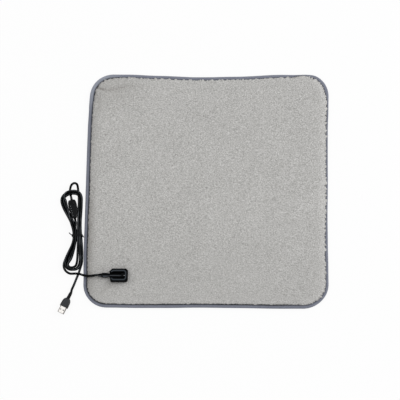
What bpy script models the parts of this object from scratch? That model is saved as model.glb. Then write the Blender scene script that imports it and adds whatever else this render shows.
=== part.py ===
# Heating pad: a bound plush pad with a heating wire inside, a low voltage socket, and a
# detachable cord with an inline controller, tied up in a hank, that ends in a USB plug.
# Metres, +Z up. The origin is under the middle of the pad, on the surface it lies on.

import math

import bmesh
import bpy
import numpy as np
from mathutils import Vector

MM = 0.001

# Pad
pad_width = 450 * MM
pad_depth = 452 * MM
corner_radius = 46.5 * MM
far_edge_draw_in = 4.8 * MM
side_draw_in = 0.8 * MM
layer_gap = 0.3 * MM
cloth_thickness = 1.0 * MM
tape_thickness = 0.8 * MM
binding_lip = 9.8 * MM
binding_height = 6.3 * MM
felt_thickness = 1.5 * MM
carrier_thickness = 0.5 * MM
element_diameter = 1.6 * MM
wadding_thickness = 1.5 * MM
plush_thickness = 3.6 * MM
plush_rim_thickness = 2.6 * MM
shoulder_width = 8 * MM
felt_inset = 18 * MM
wadding_inset = 25 * MM
rim_inset = 1.4 * MM

# Heating wire
element_runs = 10
element_left_inset = 60 * MM
element_right_inset = 45 * MM
element_far_inset = 46 * MM
element_near_inset = 100 * MM
supply_wire_inset = 30 * MM
cutout_length = 14 * MM
cutout_width = 6 * MM
cutout_height = 3.0 * MM
pocket_margin = 1.5 * MM

# Socket and jack
socket_from_left = 69 * MM
socket_from_near = 58.4 * MM
socket_length = 34 * MM
plate_shift = 1.5 * MM
plate_slant = 1.8 * MM
socket_width = 24.8 * MM
socket_height = 7.2 * MM
socket_chamfer = 3.4 * MM
socket_long_chamfer = 5.4 * MM
channel_width = 10.8 * MM
channel_end = 10 * MM
collar_setback = 1 * MM
channel_depth = 5.5 * MM
ridge_width = 1.5 * MM
ridge_height = 0.6 * MM
stem_length = 24 * MM
stem_width = 17 * MM
stem_margin = 0.8 * MM
backplate_length = 37 * MM
backplate_width = 30 * MM
backplate_thickness = 1.2 * MM
screw_diameter = 2.0 * MM
screw_head_diameter = 3.6 * MM
screw_head_height = 1.0 * MM
screw_reach = 2.2 * MM
collar_diameter = 8.0 * MM
collar_length = 5.2 * MM
running_gap = 0.3 * MM
pin_diameter = 1.9 * MM

# Plug in the socket
barrel_diameter = 5.5 * MM
barrel_length = 9.0 * MM
barrel_bore = 2.6 * MM
nose_diameter = 5.0 * MM
nose_length = 19.9 * MM
grip_width = 9.3 * MM
grip_flatness = 0.8
relief_length = 23.6 * MM

# Cord and hank
cord_diameter = 3.6 * MM
cord_clearance = 0.6 * MM
end_gap = 0.3 * MM
hank_length = 152.8 * MM
hank_from_near = 145.4 * MM
loop_points = 24
loop_turn_weight = 2.6
# Half width of the outer loop: sin(a) times (mean + lean cos(a) + waist cos(2a))
loop_half_width = 23.5 * MM
loop_lean = 4.0 * MM
loop_waist = 16.8 * MM
# Middle line of the hank: a cosine series in the same angle
sway_aside = 18.3 * MM
sway_terms = (-3.9 * MM, -3.7 * MM, 2.1 * MM, 2.0 * MM)
slack_pitches = 1.2
# How far the upper layer fans inwards, in pitches: in the lower bulb, where it leaves this
# much free on each side of the hank's middle line, and on the left of the upper bulb
hank_core = 3.0 * MM
fan_low = 1.12
fan_left = 1.9
tie_width = 3.2 * MM
tie_thickness = 0.8 * MM
tie_gap = 0.35 * MM
tie_from_near = 136 * MM
tie_tail = 5.5 * MM
tie_short_tail_share = 0.6
tie_lift_reach = 34 * MM
tie_lift_spare = 0.25 * MM

# Controller
controller_aside = 21.1 * MM
controller_from_near = 187.2 * MM
controller_tilt = math.radians(11.8)
controller_length = 35 * MM
controller_half_width = 8.0 * MM
controller_height = 8.0 * MM
controller_wall = 1.1 * MM
parting_gap = 0.2 * MM
relief_core = 3.4 * MM
relief_big = 5.1 * MM
relief_small = 4.1 * MM
relief_length_out = 5.5 * MM
upper_relief_rise = 1.2 * MM
lower_relief_rise = 0.5 * MM
button_diameter = 6.0 * MM
button_proud = 0.8 * MM
button_travel = 0.5 * MM
button_flange = 1.0 * MM
button_flange_width = 0.75 * MM
button_dome = 0.3 * MM
button_place = 10.5 * MM
light_count = 5
light_pitch = 4.5 * MM
light_diameter = 1.2 * MM
light_first = 5.5 * MM
light_aside = 3.9 * MM
light_drift = 0.35 * MM
board_thickness = 1.0 * MM
board_standoff = 1.6 * MM

# USB plug
usb_tip_aside = 37.4 * MM
usb_tip_before = 9.6 * MM
usb_heading = math.radians(245.2)
usb_shell_width = 12.0 * MM
usb_shell_height = 4.5 * MM
usb_shell_exposed = 12.3 * MM
usb_shell_wall = 0.3 * MM
usb_seat_depth = 3.0 * MM
usb_body_width = 15.6 * MM
usb_body_height = 8.0 * MM
usb_body_length = 18 * MM
usb_neck_length = 9 * MM
usb_neck_diameter = 5.4 * MM
usb_rib_edge = 0.3 * MM
usb_window = 2.0 * MM
usb_window_spacing = 5.2 * MM
usb_tongue_thickness = 1.9 * MM

# Counts and the one overrun that every cut uses
corner_steps = 6
side_steps = 7
tube_sides = 2
cut_overrun = 2 * MM

# Places that follow from the sizes above
left_edge = -pad_width / 2
near_edge = -pad_depth / 2
run_left = left_edge + element_left_inset
run_right = pad_width / 2 - element_right_inset
first_run_y = pad_depth / 2 - element_far_inset
last_run_y = near_edge + element_near_inset
run_pitch = (first_run_y - last_run_y) / (element_runs - 1)
supply_wire_x = left_edge + supply_wire_inset
socket_x = left_edge + socket_from_left
socket_y = near_edge + socket_from_near
hank_middle_y = near_edge + hank_from_near
sway_mean = left_edge - sway_aside
tie_y = near_edge + tie_from_near
controller_x = left_edge - controller_aside
controller_y = near_edge + controller_from_near
usb_tip_x = left_edge - usb_tip_aside
usb_tip_y = near_edge - usb_tip_before
base_top = cloth_thickness
rim_base_bottom = tape_thickness + layer_gap
rim_base_top = rim_base_bottom + cloth_thickness
rim_plush_bottom = rim_base_top + layer_gap
rim_plush_top = rim_plush_bottom + plush_rim_thickness
felt_bottom = base_top + layer_gap
carrier_bottom = felt_bottom + felt_thickness + layer_gap
wire_axis = carrier_bottom + carrier_thickness + layer_gap + element_diameter / 2
wadding_bottom = wire_axis + element_diameter / 2 + layer_gap
plush_bottom = wadding_bottom + wadding_thickness + layer_gap
plush_top_height = plush_bottom + plush_thickness
layer_edge_inset = 2 * layer_gap + tape_thickness + rim_inset
socket_bottom = plush_top_height + layer_gap
socket_top = socket_bottom + socket_height
plug_axis = socket_top - nose_diameter / 2
collar_left = socket_x + channel_end - collar_length - collar_setback
pitch = cord_diameter + cord_clearance
low_layer = cord_diameter / 2
high_layer = low_layer + pitch
tie_lift = tie_thickness + tie_gap + tie_lift_spare
controller_axis = controller_height / 2
usb_axis = usb_body_height / 2


def clear_scene():
    """Takes away whatever the file opened with."""
    for thing in list(bpy.data.objects):
        bpy.data.objects.remove(thing, do_unlink=True)


def material(name, colour, roughness, metallic=0.0):
    """A plain finish for one kind of material, made once and then shared."""
    found = bpy.data.materials.get(name)
    if found:
        return found
    made = bpy.data.materials.new(name)
    made.use_nodes = True
    shader = made.node_tree.nodes["Principled BSDF"]
    shader.inputs["Base Color"].default_value = (*colour, 1)
    shader.inputs["Roughness"].default_value = roughness
    shader.inputs["Metallic"].default_value = metallic
    made.diffuse_color = (*colour, 1)
    return made


def plush_grey():
    return material("plush_grey", (0.45, 0.44, 0.42), 0.95)


def slate_tape():
    return material("slate_tape", (0.12, 0.13, 0.18), 0.85)


def dark_cloth():
    return material("dark_cloth", (0.10, 0.11, 0.14), 0.9)


def pale_felt():
    return material("pale_felt", (0.62, 0.60, 0.56), 0.95)


def black_plastic():
    return material("black_plastic", (0.012, 0.013, 0.014), 0.4)


def cord_black():
    return material("cord_black", (0.010, 0.011, 0.012), 0.45)


def bright_metal():
    return material("bright_metal", (0.75, 0.76, 0.78), 0.25, 1.0)


def wire_red():
    return material("wire_red", (0.35, 0.03, 0.02), 0.5)


def board_green():
    return material("board_green", (0.02, 0.10, 0.04), 0.5)


def light_lens():
    return material("light_lens", (0.55, 0.58, 0.62), 0.3)


def mesh_object(name, points, faces, finish, smooth_angle=math.radians(35)):
    """A mesh from points and faces, with its normals turned outwards."""
    mesh = bpy.data.meshes.new(name)
    mesh.from_pydata([tuple(p) for p in points], [], faces)
    mesh.validate()
    thing = bpy.data.objects.new(name, mesh)
    bpy.context.scene.collection.objects.link(thing)
    mesh.materials.append(finish)
    face_outwards(mesh)
    mesh.shade_smooth()
    mesh.set_sharp_from_angle(angle=smooth_angle)
    return thing


def face_outwards(mesh):
    """Turns every face of a closed mesh to point out of its volume."""
    work = bmesh.new()
    work.from_mesh(mesh)
    bmesh.ops.recalc_face_normals(work, faces=work.faces)
    if work.calc_volume(signed=True) < 0:
        bmesh.ops.reverse_faces(work, faces=work.faces)
    work.to_mesh(mesh)
    work.free()


def loft(name, rings, finish, ends="faces"):
    """Joins rings of equally many points: ends is faces, centres or closed."""
    count = len(rings[0])
    points = [p for ring in rings for p in ring]
    faces = []
    steps = len(rings) if ends == "closed" else len(rings) - 1
    for i in range(steps):
        here, there = i * count, (i + 1) % len(rings) * count
        for j in range(count):
            k = (j + 1) % count
            faces.append((here + j, here + k, there + k, there + j))
    last = (len(rings) - 1) * count
    if ends == "faces":
        faces.append(tuple(range(count)))
        faces.append(tuple(range(last, last + count)))
    if ends == "centres":
        for start, ring in ((0, rings[0]), (last, rings[-1])):
            points.append(np.mean(np.array(ring), axis=0))
            hub = len(points) - 1
            faces += [(start + j, start + (j + 1) % count, hub) for j in range(count)]
    return mesh_object(name, points, faces, finish)


def prism(name, outline, low, high, finish):
    """An outline in x and y pushed up from one height to another."""
    rings = [[(x, y, z) for x, y in outline] for z in (low, high)]
    return loft(name, rings, finish)


def block(name, low, high, finish):
    """A box between two corners."""
    outline = [(low[0], low[1]), (high[0], low[1]), (high[0], high[1]), (low[0], high[1])]
    return prism(name, outline, low[2], high[2], finish)


def bevelled(thing, width, segments=2):
    """Rounds the sharp edges of an object."""
    rounding = thing.modifiers.new("rounding", "BEVEL")
    rounding.width = width
    rounding.segments = segments
    rounding.limit_method = "ANGLE"
    rounding.angle_limit = math.radians(35)
    return thing


def boolean(thing, other, operation):
    """Cuts with, or joins on, a helper that is kept out of the build."""
    step = thing.modifiers.new(operation.lower(), "BOOLEAN")
    step.operation = operation
    step.solver = "EXACT"
    step.object = other
    other.hide_render = True
    other.display_type = "WIRE"
    return thing


def cut(thing, other):
    return boolean(thing, other, "DIFFERENCE")


def join(thing, other):
    return boolean(thing, other, "UNION")


def circle(radius_a, radius_b, count=16):
    """Points of an ellipse with the given half sizes."""
    turns = [2 * math.pi * i / count for i in range(count)]
    return [(radius_a * math.cos(t), radius_b * math.sin(t)) for t in turns]


def superellipse(half_a, half_b, power, count=20):
    """A rounded rectangle as a superellipse: a higher power has squarer corners."""
    out = []
    for i in range(count):
        t = 2 * math.pi * (i + 0.5) / count
        c, s = math.cos(t), math.sin(t)
        x = math.copysign(abs(c) ** (2 / power), c) * half_a
        y = math.copysign(abs(s) ** (2 / power), s) * half_b
        out.append((x, y))
    return out


def along_x(section, x, centre_y, centre_z):
    """A section laid across the X axis at x."""
    return [(x, centre_y + a, centre_z + b) for a, b in section]


def turned(name, stations, centre, finish, flatness=1.0, count=16):
    """A turned form along X from (x, radius) stations, flattened in height."""
    rings = [
        along_x(circle(r, r * flatness, count), x, centre[0], centre[1])
        for x, r in stations
    ]
    return loft(name, rings, finish)


def tube_wall(name, x_low, x_high, centre, outer, bore, finish):
    """A straight tube along X, open at both ends."""
    rings = []
    for x, r in ((x_low, outer), (x_high, outer), (x_high, bore), (x_low, bore)):
        rings.append(along_x(circle(r / 2, r / 2), x, centre[0], centre[1]))
    return loft(name, rings, finish, ends="closed")


def cord_tube(name, points, diameter, finish, sides=tube_sides):
    """A cord as a poly curve with a round bevel and filled caps."""
    curve = bpy.data.curves.new(name, "CURVE")
    curve.dimensions = "3D"
    curve.bevel_depth = diameter / 2
    curve.bevel_resolution = sides
    curve.use_fill_caps = True
    spline = curve.splines.new("POLY")
    spline.points.add(len(points) - 1)
    for slot, p in zip(spline.points, points):
        slot.co = (*p, 1)
    curve.materials.append(finish)
    thing = bpy.data.objects.new(name, curve)
    bpy.context.scene.collection.objects.link(thing)
    return thing


def smooth_curve(points, spacing):
    """A centripetal spline through the points, read off at an even spacing."""
    pts = np.array(points, float)
    pts = np.vstack([2 * pts[0] - pts[1], pts, 2 * pts[-1] - pts[-2]])
    dense = []
    for a, b, c, d in zip(pts[:-3], pts[1:-2], pts[2:-1], pts[3:]):
        t0 = 0.0
        t1 = t0 + math.sqrt(np.linalg.norm(b - a))
        t2 = t1 + math.sqrt(np.linalg.norm(c - b))
        t3 = t2 + math.sqrt(np.linalg.norm(d - c))
        t = np.linspace(t1, t2, 24, endpoint=False)[:, None]
        one = (t1 - t) / (t1 - t0) * a + (t - t0) / (t1 - t0) * b
        two = (t2 - t) / (t2 - t1) * b + (t - t1) / (t2 - t1) * c
        three = (t3 - t) / (t3 - t2) * c + (t - t2) / (t3 - t2) * d
        four = (t2 - t) / (t2 - t0) * one + (t - t0) / (t2 - t0) * two
        five = (t3 - t) / (t3 - t1) * two + (t - t1) / (t3 - t1) * three
        dense.append((t2 - t) / (t2 - t1) * four + (t - t1) / (t2 - t1) * five)
    dense = np.vstack(dense + [pts[-2:-1]])
    return even_points(dense, spacing)


def even_points(line, spacing):
    """The same line with evenly spaced points."""
    steps = np.linalg.norm(np.diff(line, axis=0), axis=1)
    run = np.concatenate([[0], np.cumsum(steps)])
    count = max(2, round(run[-1] / spacing) + 1)
    places = np.linspace(0, run[-1], count)
    return np.stack([np.interp(places, run, line[:, k]) for k in range(3)], -1)


def line_length(line):
    return float(np.linalg.norm(np.diff(line, axis=0), axis=1).sum())


# The pad's outline and its layers


def corner_arc(centre_x, centre_y, radius, start):
    """Points of one corner's quarter circle."""
    turns = [start + math.pi / 2 * i / corner_steps for i in range(corner_steps + 1)]
    return [(centre_x + radius * math.cos(t), centre_y + radius * math.sin(t)) for t in turns]


def pad_outline(inset):
    """The drawn in square, moved so that the pad's own middle is at the origin."""
    reach = [y for x, y in drawn_square(0)]
    middle = (min(reach) + max(reach)) / 2
    return [(x, y - middle) for x, y in drawn_square(inset)]


def drawn_square(inset):
    """The pad's rounded square, set in from its edge, with sides drawn in between corners."""
    half_x, half_y = pad_width / 2 - inset, pad_depth / 2 - inset
    radius = max(corner_radius - inset, corner_radius / 8)
    radius = min(radius, half_x, half_y)
    corners = (
        (half_x - radius, half_y - radius, 0.0),
        (radius - half_x, half_y - radius, math.pi / 2),
        (radius - half_x, radius - half_y, math.pi),
        (half_x - radius, radius - half_y, math.pi * 1.5),
    )
    arcs = [corner_arc(x, y, radius, start) for x, y, start in corners]
    out = []
    for arc, following in zip(arcs, arcs[1:] + arcs[:1]):
        out += arc
        (ax, ay), (bx, by) = arc[-1], following[0]
        for i in range(1, side_steps):
            share = i / side_steps
            out.append((ax + (bx - ax) * share, ay + (by - ay) * share))
    return [draw_in(x, y, half_x, half_y) for x, y in out]


def draw_in(x, y, half_x, half_y):
    """Pulls a point towards the middle, most at the middle of a side."""
    along_side, across = 1 - (x / half_x) ** 2, 1 - (y / half_y) ** 2
    far = far_edge_draw_in if y > 0 else side_draw_in
    new_y = y - far * along_side * y / half_y
    new_x = x - side_draw_in * across * x / half_x
    return new_x, new_y


def pad_ring(inset, height):
    return [(x, y, height) for x, y in pad_outline(inset)]


def rise_share(inset):
    """How far the pad has swollen to its full height at an inset past the binding."""
    past = max(0.0, inset - binding_lip) / shoulder_width
    return 1 - math.exp(-2.2 * past)


rise_inset_shares = (0.35, 0.8, 1.4, 2.4, 5.0, 12.0)


def swelling_insets():
    return [binding_lip + shoulder_width * share for share in rise_inset_shares]


def plush_rings(rim_height, full_height):
    """Rings of the plush's upper or lower side, from its rim inwards."""
    rings = [pad_ring(layer_edge_inset, rim_height), pad_ring(binding_lip, rim_height)]
    for inset in swelling_insets():
        height = rim_height + (full_height - rim_height) * rise_share(inset)
        rings.append(pad_ring(inset, height))
    return rings


def socket_box(length, width, low, high, name, finish):
    """A box centred on the socket."""
    corner = (socket_x - length / 2, socket_y - width / 2, low)
    far = (socket_x + length / 2, socket_y + width / 2, high)
    return block(name, corner, far, finish)


def make_plush_top():
    """The crowned pile cloth, with the hole that the socket's stem goes through."""
    upper = plush_rings(rim_plush_top, plush_top_height)
    lower = plush_rings(rim_plush_bottom, plush_bottom)
    plush = loft("plush_top", upper[::-1] + lower, plush_grey(), ends="centres")
    hole = socket_box(
        stem_length + 2 * stem_margin, stem_width + 2 * stem_margin,
        plush_bottom - cut_overrun, plush_top_height + cut_overrun,
        "plush_hole_cutter", plush_grey(),
    )
    return cut(plush, hole)


def make_base_cloth():
    """The underside cloth: flat on the surface, and raised at its rim into the binding."""
    step = binding_lip + layer_gap
    flat = step + rim_base_bottom * 2
    upper = [
        pad_ring(layer_edge_inset, rim_base_top),
        pad_ring(step, rim_base_top),
        pad_ring(flat, base_top),
    ]
    lower = [
        pad_ring(layer_edge_inset, rim_base_bottom),
        pad_ring(step, rim_base_bottom),
        pad_ring(flat, 0),
    ]
    return loft("base_cloth", upper[::-1] + lower, dark_cloth())


def make_flat_layer(name, inset, low, thickness, finish):
    return prism(name, pad_outline(inset), low, low + thickness, finish)


def make_edge_binding():
    """The tape folded round the rim: a C section with a round back, carried round the pad."""
    radius = binding_height / 2
    inner = radius - tape_thickness
    steps = 4
    profile = [(binding_lip, 0.0)]
    for i in range(steps + 1):
        turn = math.pi / 2 + math.pi * i / steps
        profile.append((radius + radius * math.cos(turn), radius - radius * math.sin(turn)))
    profile += [(binding_lip, binding_height), (binding_lip, binding_height - tape_thickness)]
    for i in range(steps + 1):
        turn = math.pi * 1.5 - math.pi * i / steps
        profile.append((radius + inner * math.cos(turn), radius - inner * math.sin(turn)))
    profile.append((binding_lip, tape_thickness))
    rings = [pad_ring(inset, height) for inset, height in profile]
    return loft("edge_binding", rings, slate_tape(), ends="closed")


# The heating element and its wires


def element_line():
    """The heating wire's route: level runs joined by half turns, each run on a new line."""
    points, bend, steps = [], run_pitch / 2, 5
    for i in range(element_runs):
        y = first_run_y - i * run_pitch
        ends = (run_left, run_right) if i % 2 == 0 else (run_right, run_left)
        side = 1 if i % 2 == 0 else -1
        points += [(ends[0], y), (ends[1], y)]
        if i == element_runs - 1:
            break
        for j in range(1, steps):
            turn = math.pi / 2 - math.pi * j / steps
            points.append(
                (ends[1] + side * bend * math.cos(turn), y - bend + bend * math.sin(turn))
            )
    return [(x, y, wire_axis) for x, y in points]


def cutout_centre():
    """The cutout sits in the return wire, below the end of the last run."""
    x = run_left - cutout_width
    return x, last_run_y - cutout_length


def make_thermal_cutout():
    x, y = cutout_centre()
    low = wire_axis - element_diameter / 2
    body = block(
        "thermal_cutout",
        (x - cutout_width / 2, y - cutout_length / 2, low),
        (x + cutout_width / 2, y + cutout_length / 2, low + cutout_height),
        bright_metal(),
    )
    return bevelled(body, cutout_height / 6)


def make_lead_wires():
    """The supply wire goes up the left side, and the return wire comes by the cutout."""
    x, y = cutout_centre()
    terminal_y = socket_y + backplate_width / 4
    wire_end_x = socket_x - backplate_length / 2 - layer_gap
    supply = [
        (wire_end_x, terminal_y - 4 * element_diameter),
        (supply_wire_x, terminal_y - 4 * element_diameter),
        (supply_wire_x, first_run_y),
        (run_left - layer_gap, first_run_y),
    ]
    gap = cutout_length / 2 + layer_gap
    lower = [(wire_end_x, terminal_y), (x, terminal_y), (x, y - gap)]
    cord_tube("lead_wire_supply", wire_route(supply), element_diameter, wire_red())
    cord_tube("lead_wire_return", wire_route(lower), element_diameter, wire_red())
    upper = [(x, y + gap), (x, last_run_y), (run_left - layer_gap, last_run_y)]
    cord_tube("cutout_wire", wire_route(upper), element_diameter, wire_red())


def wire_route(corners):
    """A level route with its corners cut at an angle."""
    trim = 3 * element_diameter
    out = [Vector((*corners[0], wire_axis))]
    for before, here, after in zip(corners, corners[1:], corners[2:]):
        here, before, after = Vector(here), Vector(before), Vector(after)
        for other in (before, after):
            place = here + (other - here).normalized() * min(trim, (other - here).length / 2)
            out.append(Vector((*place, wire_axis)))
    out.append(Vector((*corners[-1], wire_axis)))
    return out


def make_wadding():
    """The padding, with its two windows: round the socket's backplate and the cutout."""
    wadding = make_flat_layer(
        "wadding", wadding_inset, wadding_bottom, wadding_thickness, pale_felt()
    )
    low = wadding_bottom - cut_overrun
    high = wadding_bottom + wadding_thickness + cut_overrun
    window = socket_box(
        backplate_length + 2 * pocket_margin, backplate_width + 2 * pocket_margin,
        low, high, "wadding_socket_cutter", pale_felt(),
    )
    x, y = cutout_centre()
    half_x = cutout_width / 2 + pocket_margin
    half_y = cutout_length / 2 + pocket_margin
    pocket = block(
        "wadding_pocket_cutter", (x - half_x, y - half_y, low), (x + half_x, y + half_y, high),
        pale_felt(),
    )
    return cut(cut(wadding, window), pocket)


# The socket


def socket_outline():
    """The plate's corners: two even chamfers, a long one and a small one set further in."""
    right, top = socket_length / 2, socket_width / 2
    small = socket_chamfer / 2
    cuts = (
        (right, top, socket_chamfer), (-right, top, socket_long_chamfer),
        (-right + plate_slant, -top, small), (right, -top, socket_chamfer),
    )
    out = []
    for i, (x, y, size) in enumerate(cuts):
        toward_y = (x, y - math.copysign(size, y))
        toward_x = (x - math.copysign(size, x), y)
        out += [toward_y, toward_x] if i % 2 == 0 else [toward_x, toward_y]
    return [(socket_x - plate_shift + x, socket_y + y) for x, y in out]


def channel_outline(start, grow):
    """The channel's outline from a place on its open side, grown by a wall's width."""
    end = socket_x + channel_end + grow
    half = channel_width / 2 + grow
    corner = half * 0.4
    lines = [
        (start, -half), (end - corner, -half), (end, corner - half),
        (end, half - corner), (end - corner, half), (start, half),
    ]
    return [(x, socket_y + y) for x, y in lines]


def make_socket_housing():
    """The plate with a ridged channel for the plug, a seat for the jack, and its stem."""
    plate = prism("socket_housing", socket_outline(), socket_bottom, socket_top, black_plastic())
    bevelled(plate, socket_height / 8, segments=3)
    floor = socket_top - channel_depth
    end = socket_x + channel_end
    left = socket_x - plate_shift - socket_length / 2
    ridge = prism(
        "channel_ridge", channel_outline(left + socket_height / 4, ridge_width),
        floor, socket_top + ridge_height, black_plastic(),
    )
    bevelled(ridge, ridge_height / 2, segments=1)
    join(plate, ridge)
    channel = prism(
        "channel_cutter", channel_outline(left - cut_overrun, 0),
        floor, socket_top + cut_overrun, black_plastic(),
    )
    seat_radius = collar_diameter / 2 + running_gap
    seat = turned(
        "jack_seat_cutter",
        [(collar_left - nose_length, seat_radius), (end, seat_radius)],
        (socket_y, plug_axis), black_plastic(),
    )
    stem = socket_box(
        stem_length, stem_width, plush_bottom + layer_gap,
        socket_bottom + cut_overrun / 4, "socket_stem", black_plastic(),
    )
    join(plate, stem)
    cut(cut(plate, channel), seat)
    for x, y in screw_places():
        bore = upright_pin(
            "screw_hole_cutter", x, y, screw_diameter / 2 + running_gap,
            plush_bottom - cut_overrun, plush_bottom + screw_reach + 2 * layer_gap, black_plastic(),
        )
        cut(plate, bore)
    return plate


def upright_pin(name, x, y, radius, low, high, finish, count=12):
    outline = [(x + a, y + b) for a, b in circle(radius, radius, count)]
    return prism(name, outline, low, high, finish)


def screw_places():
    """The four screws stand in the corners of the stem."""
    out = []
    for side_x in (-1, 1):
        for side_y in (-1, 1):
            x = socket_x + side_x * (stem_length / 2 - screw_head_diameter / 2)
            y = socket_y + side_y * (stem_width / 2 - screw_head_diameter / 2)
            out.append((x, y))
    return out


def make_socket_backplate():
    """The plate under the plush that the socket is screwed to."""
    top = plush_bottom - layer_gap
    plate = socket_box(
        backplate_length, backplate_width, top - backplate_thickness, top,
        "socket_backplate", black_plastic(),
    )
    bevelled(plate, backplate_thickness / 6, segments=1)
    for x, y in screw_places():
        bore = upright_pin(
            "plate_hole_cutter", x, y, screw_diameter / 2 + running_gap,
            top - backplate_thickness - cut_overrun, top + cut_overrun, black_plastic(),
        )
        cut(plate, bore)
    return plate


def make_backplate_screws():
    """Four pan head screws, put in from below."""
    head_top = plush_bottom - layer_gap - backplate_thickness - layer_gap
    stations = (
        (head_top - screw_head_height, screw_head_diameter / 2),
        (head_top, screw_head_diameter / 2),
        (head_top, screw_diameter / 2),
        (plush_bottom + screw_reach, screw_diameter / 2),
    )
    for i, (x, y) in enumerate(screw_places(), 1):
        rings = [
            [(x + a, y + b, z) for a, b in circle(r, r, 10)] for z, r in stations
        ]
        loft(f"backplate_screw_{i}", rings, bright_metal())


def make_jack():
    """The collar that the plug's barrel goes into, and the pin in its middle."""
    centre = (socket_y, plug_axis)
    right = collar_left + collar_length
    bore = barrel_diameter + 2 * running_gap
    tube_wall("jack_collar", collar_left, right, centre, collar_diameter, bore, black_plastic())
    pin_left = collar_left - collar_length / 2
    pin_right = socket_x + channel_end - running_gap
    point = pin_diameter / 4
    turned(
        "jack_pin",
        [(pin_left, point), (pin_left + point, pin_diameter / 2), (pin_right, pin_diameter / 2)],
        centre, bright_metal(),
    )


# The plug and the cord's own parts


plug_station_shares = (
    (0.00, 0.50), (0.04, 0.50), (0.07, 0.57), (0.12, 0.57), (0.15, 0.64), (0.20, 0.64),
    (0.23, 0.73), (0.28, 0.73), (0.34, 0.86), (0.44, 1.00), (0.62, 1.00), (0.78, 0.88),
    (0.92, 0.72), (1.00, 0.62),
)


def nose_tip():
    return collar_left - running_gap


def relief_right():
    return nose_tip() - nose_length


def relief_left():
    return relief_right() - relief_length


def make_plug():
    """The moulded plug: a stepped relief that swells to the grip, then the slim nose."""
    stations = [
        (relief_left() + relief_length * along, grip_width / 2 * wide)
        for along, wide in plug_station_shares
    ]
    nose = nose_diameter / 2
    stations += [(relief_right() + running_gap, nose), (nose_tip(), nose)]
    centre = (socket_y, plug_axis)
    body = turned("plug_body", stations, centre, black_plastic(), grip_flatness)
    round_nose = turned(
        "plug_nose", [(relief_right() - running_gap, nose), (nose_tip(), nose)],
        centre, black_plastic(),
    )
    join(body, round_nose)
    bore = barrel_length / 2
    cutter = turned(
        "plug_bore_cutter",
        [(nose_tip() - bore, barrel_bore / 2), (nose_tip() + cut_overrun, barrel_bore / 2)],
        centre, black_plastic(),
    )
    cut(body, cutter)
    left = nose_tip() + running_gap
    tube_wall(
        "plug_barrel", left, left + collar_length, centre, barrel_diameter, barrel_bore,
        bright_metal(),
    )


def half_width(angle):
    return loop_half_width + loop_lean * np.cos(angle) + loop_waist * np.cos(2 * angle)


def hank_outline(angle):
    """The outer loop: clockwise seen from above, from the top end at zero."""
    a = np.asarray(angle, float)
    sway = sway_mean + sum(term * np.cos((k + 1) * a) for k, term in enumerate(sway_terms))
    y = hank_middle_y + hank_length / 2 * np.cos(a)
    return np.stack([sway + np.sin(a) * half_width(a), y], -1)


def hank_point(angle, pitches, height):
    """A place that many pitches inside the outer loop, square to it."""
    angle = np.asarray(angle, float)
    step = 1e-4
    along = hank_outline(angle + step) - hank_outline(angle - step)
    along /= np.linalg.norm(along, axis=-1, keepdims=True)
    inward = np.stack([along[..., 1], -along[..., 0]], -1)
    place = hank_outline(angle) + inward * (np.asarray(pitches) * pitch)[..., None]
    lift = tie_lift * np.exp(-(((place[..., 1] - tie_y) / tie_lift_reach) ** 2))
    return np.concatenate([place, (np.asarray(height) + lift)[..., None]], -1)


def ramp(value, start, end):
    """A smooth step from 0 at start to 1 at end."""
    share = np.clip((np.asarray(value, float) - start) / (end - start), 0, 1)
    return share * share * (3 - 2 * share)


def fan_below(angle):
    """Pitches that the upper layer lies further in, below the waist, to fill the width."""
    spare = (np.abs(np.sin(angle)) * half_width(angle) - hank_core) / pitch - 1
    return np.clip(spare, 0, fan_low) * (np.cos(angle) < 0)


def fan(angle):
    """The fan of a whole loop: nothing at the waist and the folds."""
    past_waist = np.mod(angle, 2 * math.pi) - 3 * math.pi / 2
    left = ramp(past_waist, 0.15, 0.75) - ramp(past_waist, 0.8, 1.3)
    return fan_below(angle) * (1 - ramp(-np.cos(angle), 0.6, 0.93)) + fan_left * left


def loop_station_angles():
    """One loop's station angles: evenly spaced in a measure of both length and turning."""
    angles = np.linspace(0, 2 * math.pi, 1441)
    steps = np.diff(hank_outline(angles), axis=0)
    heading = np.unwrap(np.arctan2(steps[:, 1], steps[:, 0]))
    turning = np.abs(np.diff(heading, append=heading[0] - 2 * math.pi))
    lengths = np.linalg.norm(steps, axis=1)
    measure = lengths / lengths.sum() + loop_turn_weight * turning / turning.sum()
    measure = np.concatenate([[0], np.cumsum(measure)])
    places = measure[-1] * np.arange(loop_points) / loop_points
    return np.interp(places, measure, angles)


def loop_stations(start, end):
    """The station angles from start to end, with the same stations on every loop."""
    once = loop_station_angles()
    turns = math.ceil(end / (2 * math.pi))
    every = np.concatenate([once + 2 * math.pi * i for i in range(turns)])
    return every[(every >= start) & (every <= end)]


def pad_side_loops():
    """From the lead: the slack bottom arc, up, over, down, and in and up to the controller."""
    a = loop_stations(math.pi * 1.02, math.pi * 3.5)
    slack = slack_pitches * (1 - ramp(a, math.pi, math.pi + 1.15))
    inward = ramp(a, 3 * math.pi - 0.8, 3 * math.pi + 0.8)
    height = low_layer + pitch * ramp(a, math.pi, math.pi + 0.75)
    fanned = fan(a) * ramp(a, math.pi + 1.0, math.pi + 1.4)
    return hank_point(a, inward - slack + fanned, height)


def plug_side_loops():
    """From the top loop: down inside, under, round the low layer, and out to the tail."""
    a = loop_stations(0.9, math.pi * 5 - 0.62)
    aside = np.maximum.accumulate(fan_below(a))
    back = fan_low * ramp(a, math.pi - 0.45, math.pi + 0.85)
    out = ramp(a, 3 * math.pi - 0.45, 3 * math.pi + 0.85)
    height = high_layer - pitch * ramp(a, math.pi / 2 + 0.7, math.pi / 2 + 1.15)
    return hank_point(a, 1 + aside - back - out, height)


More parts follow.
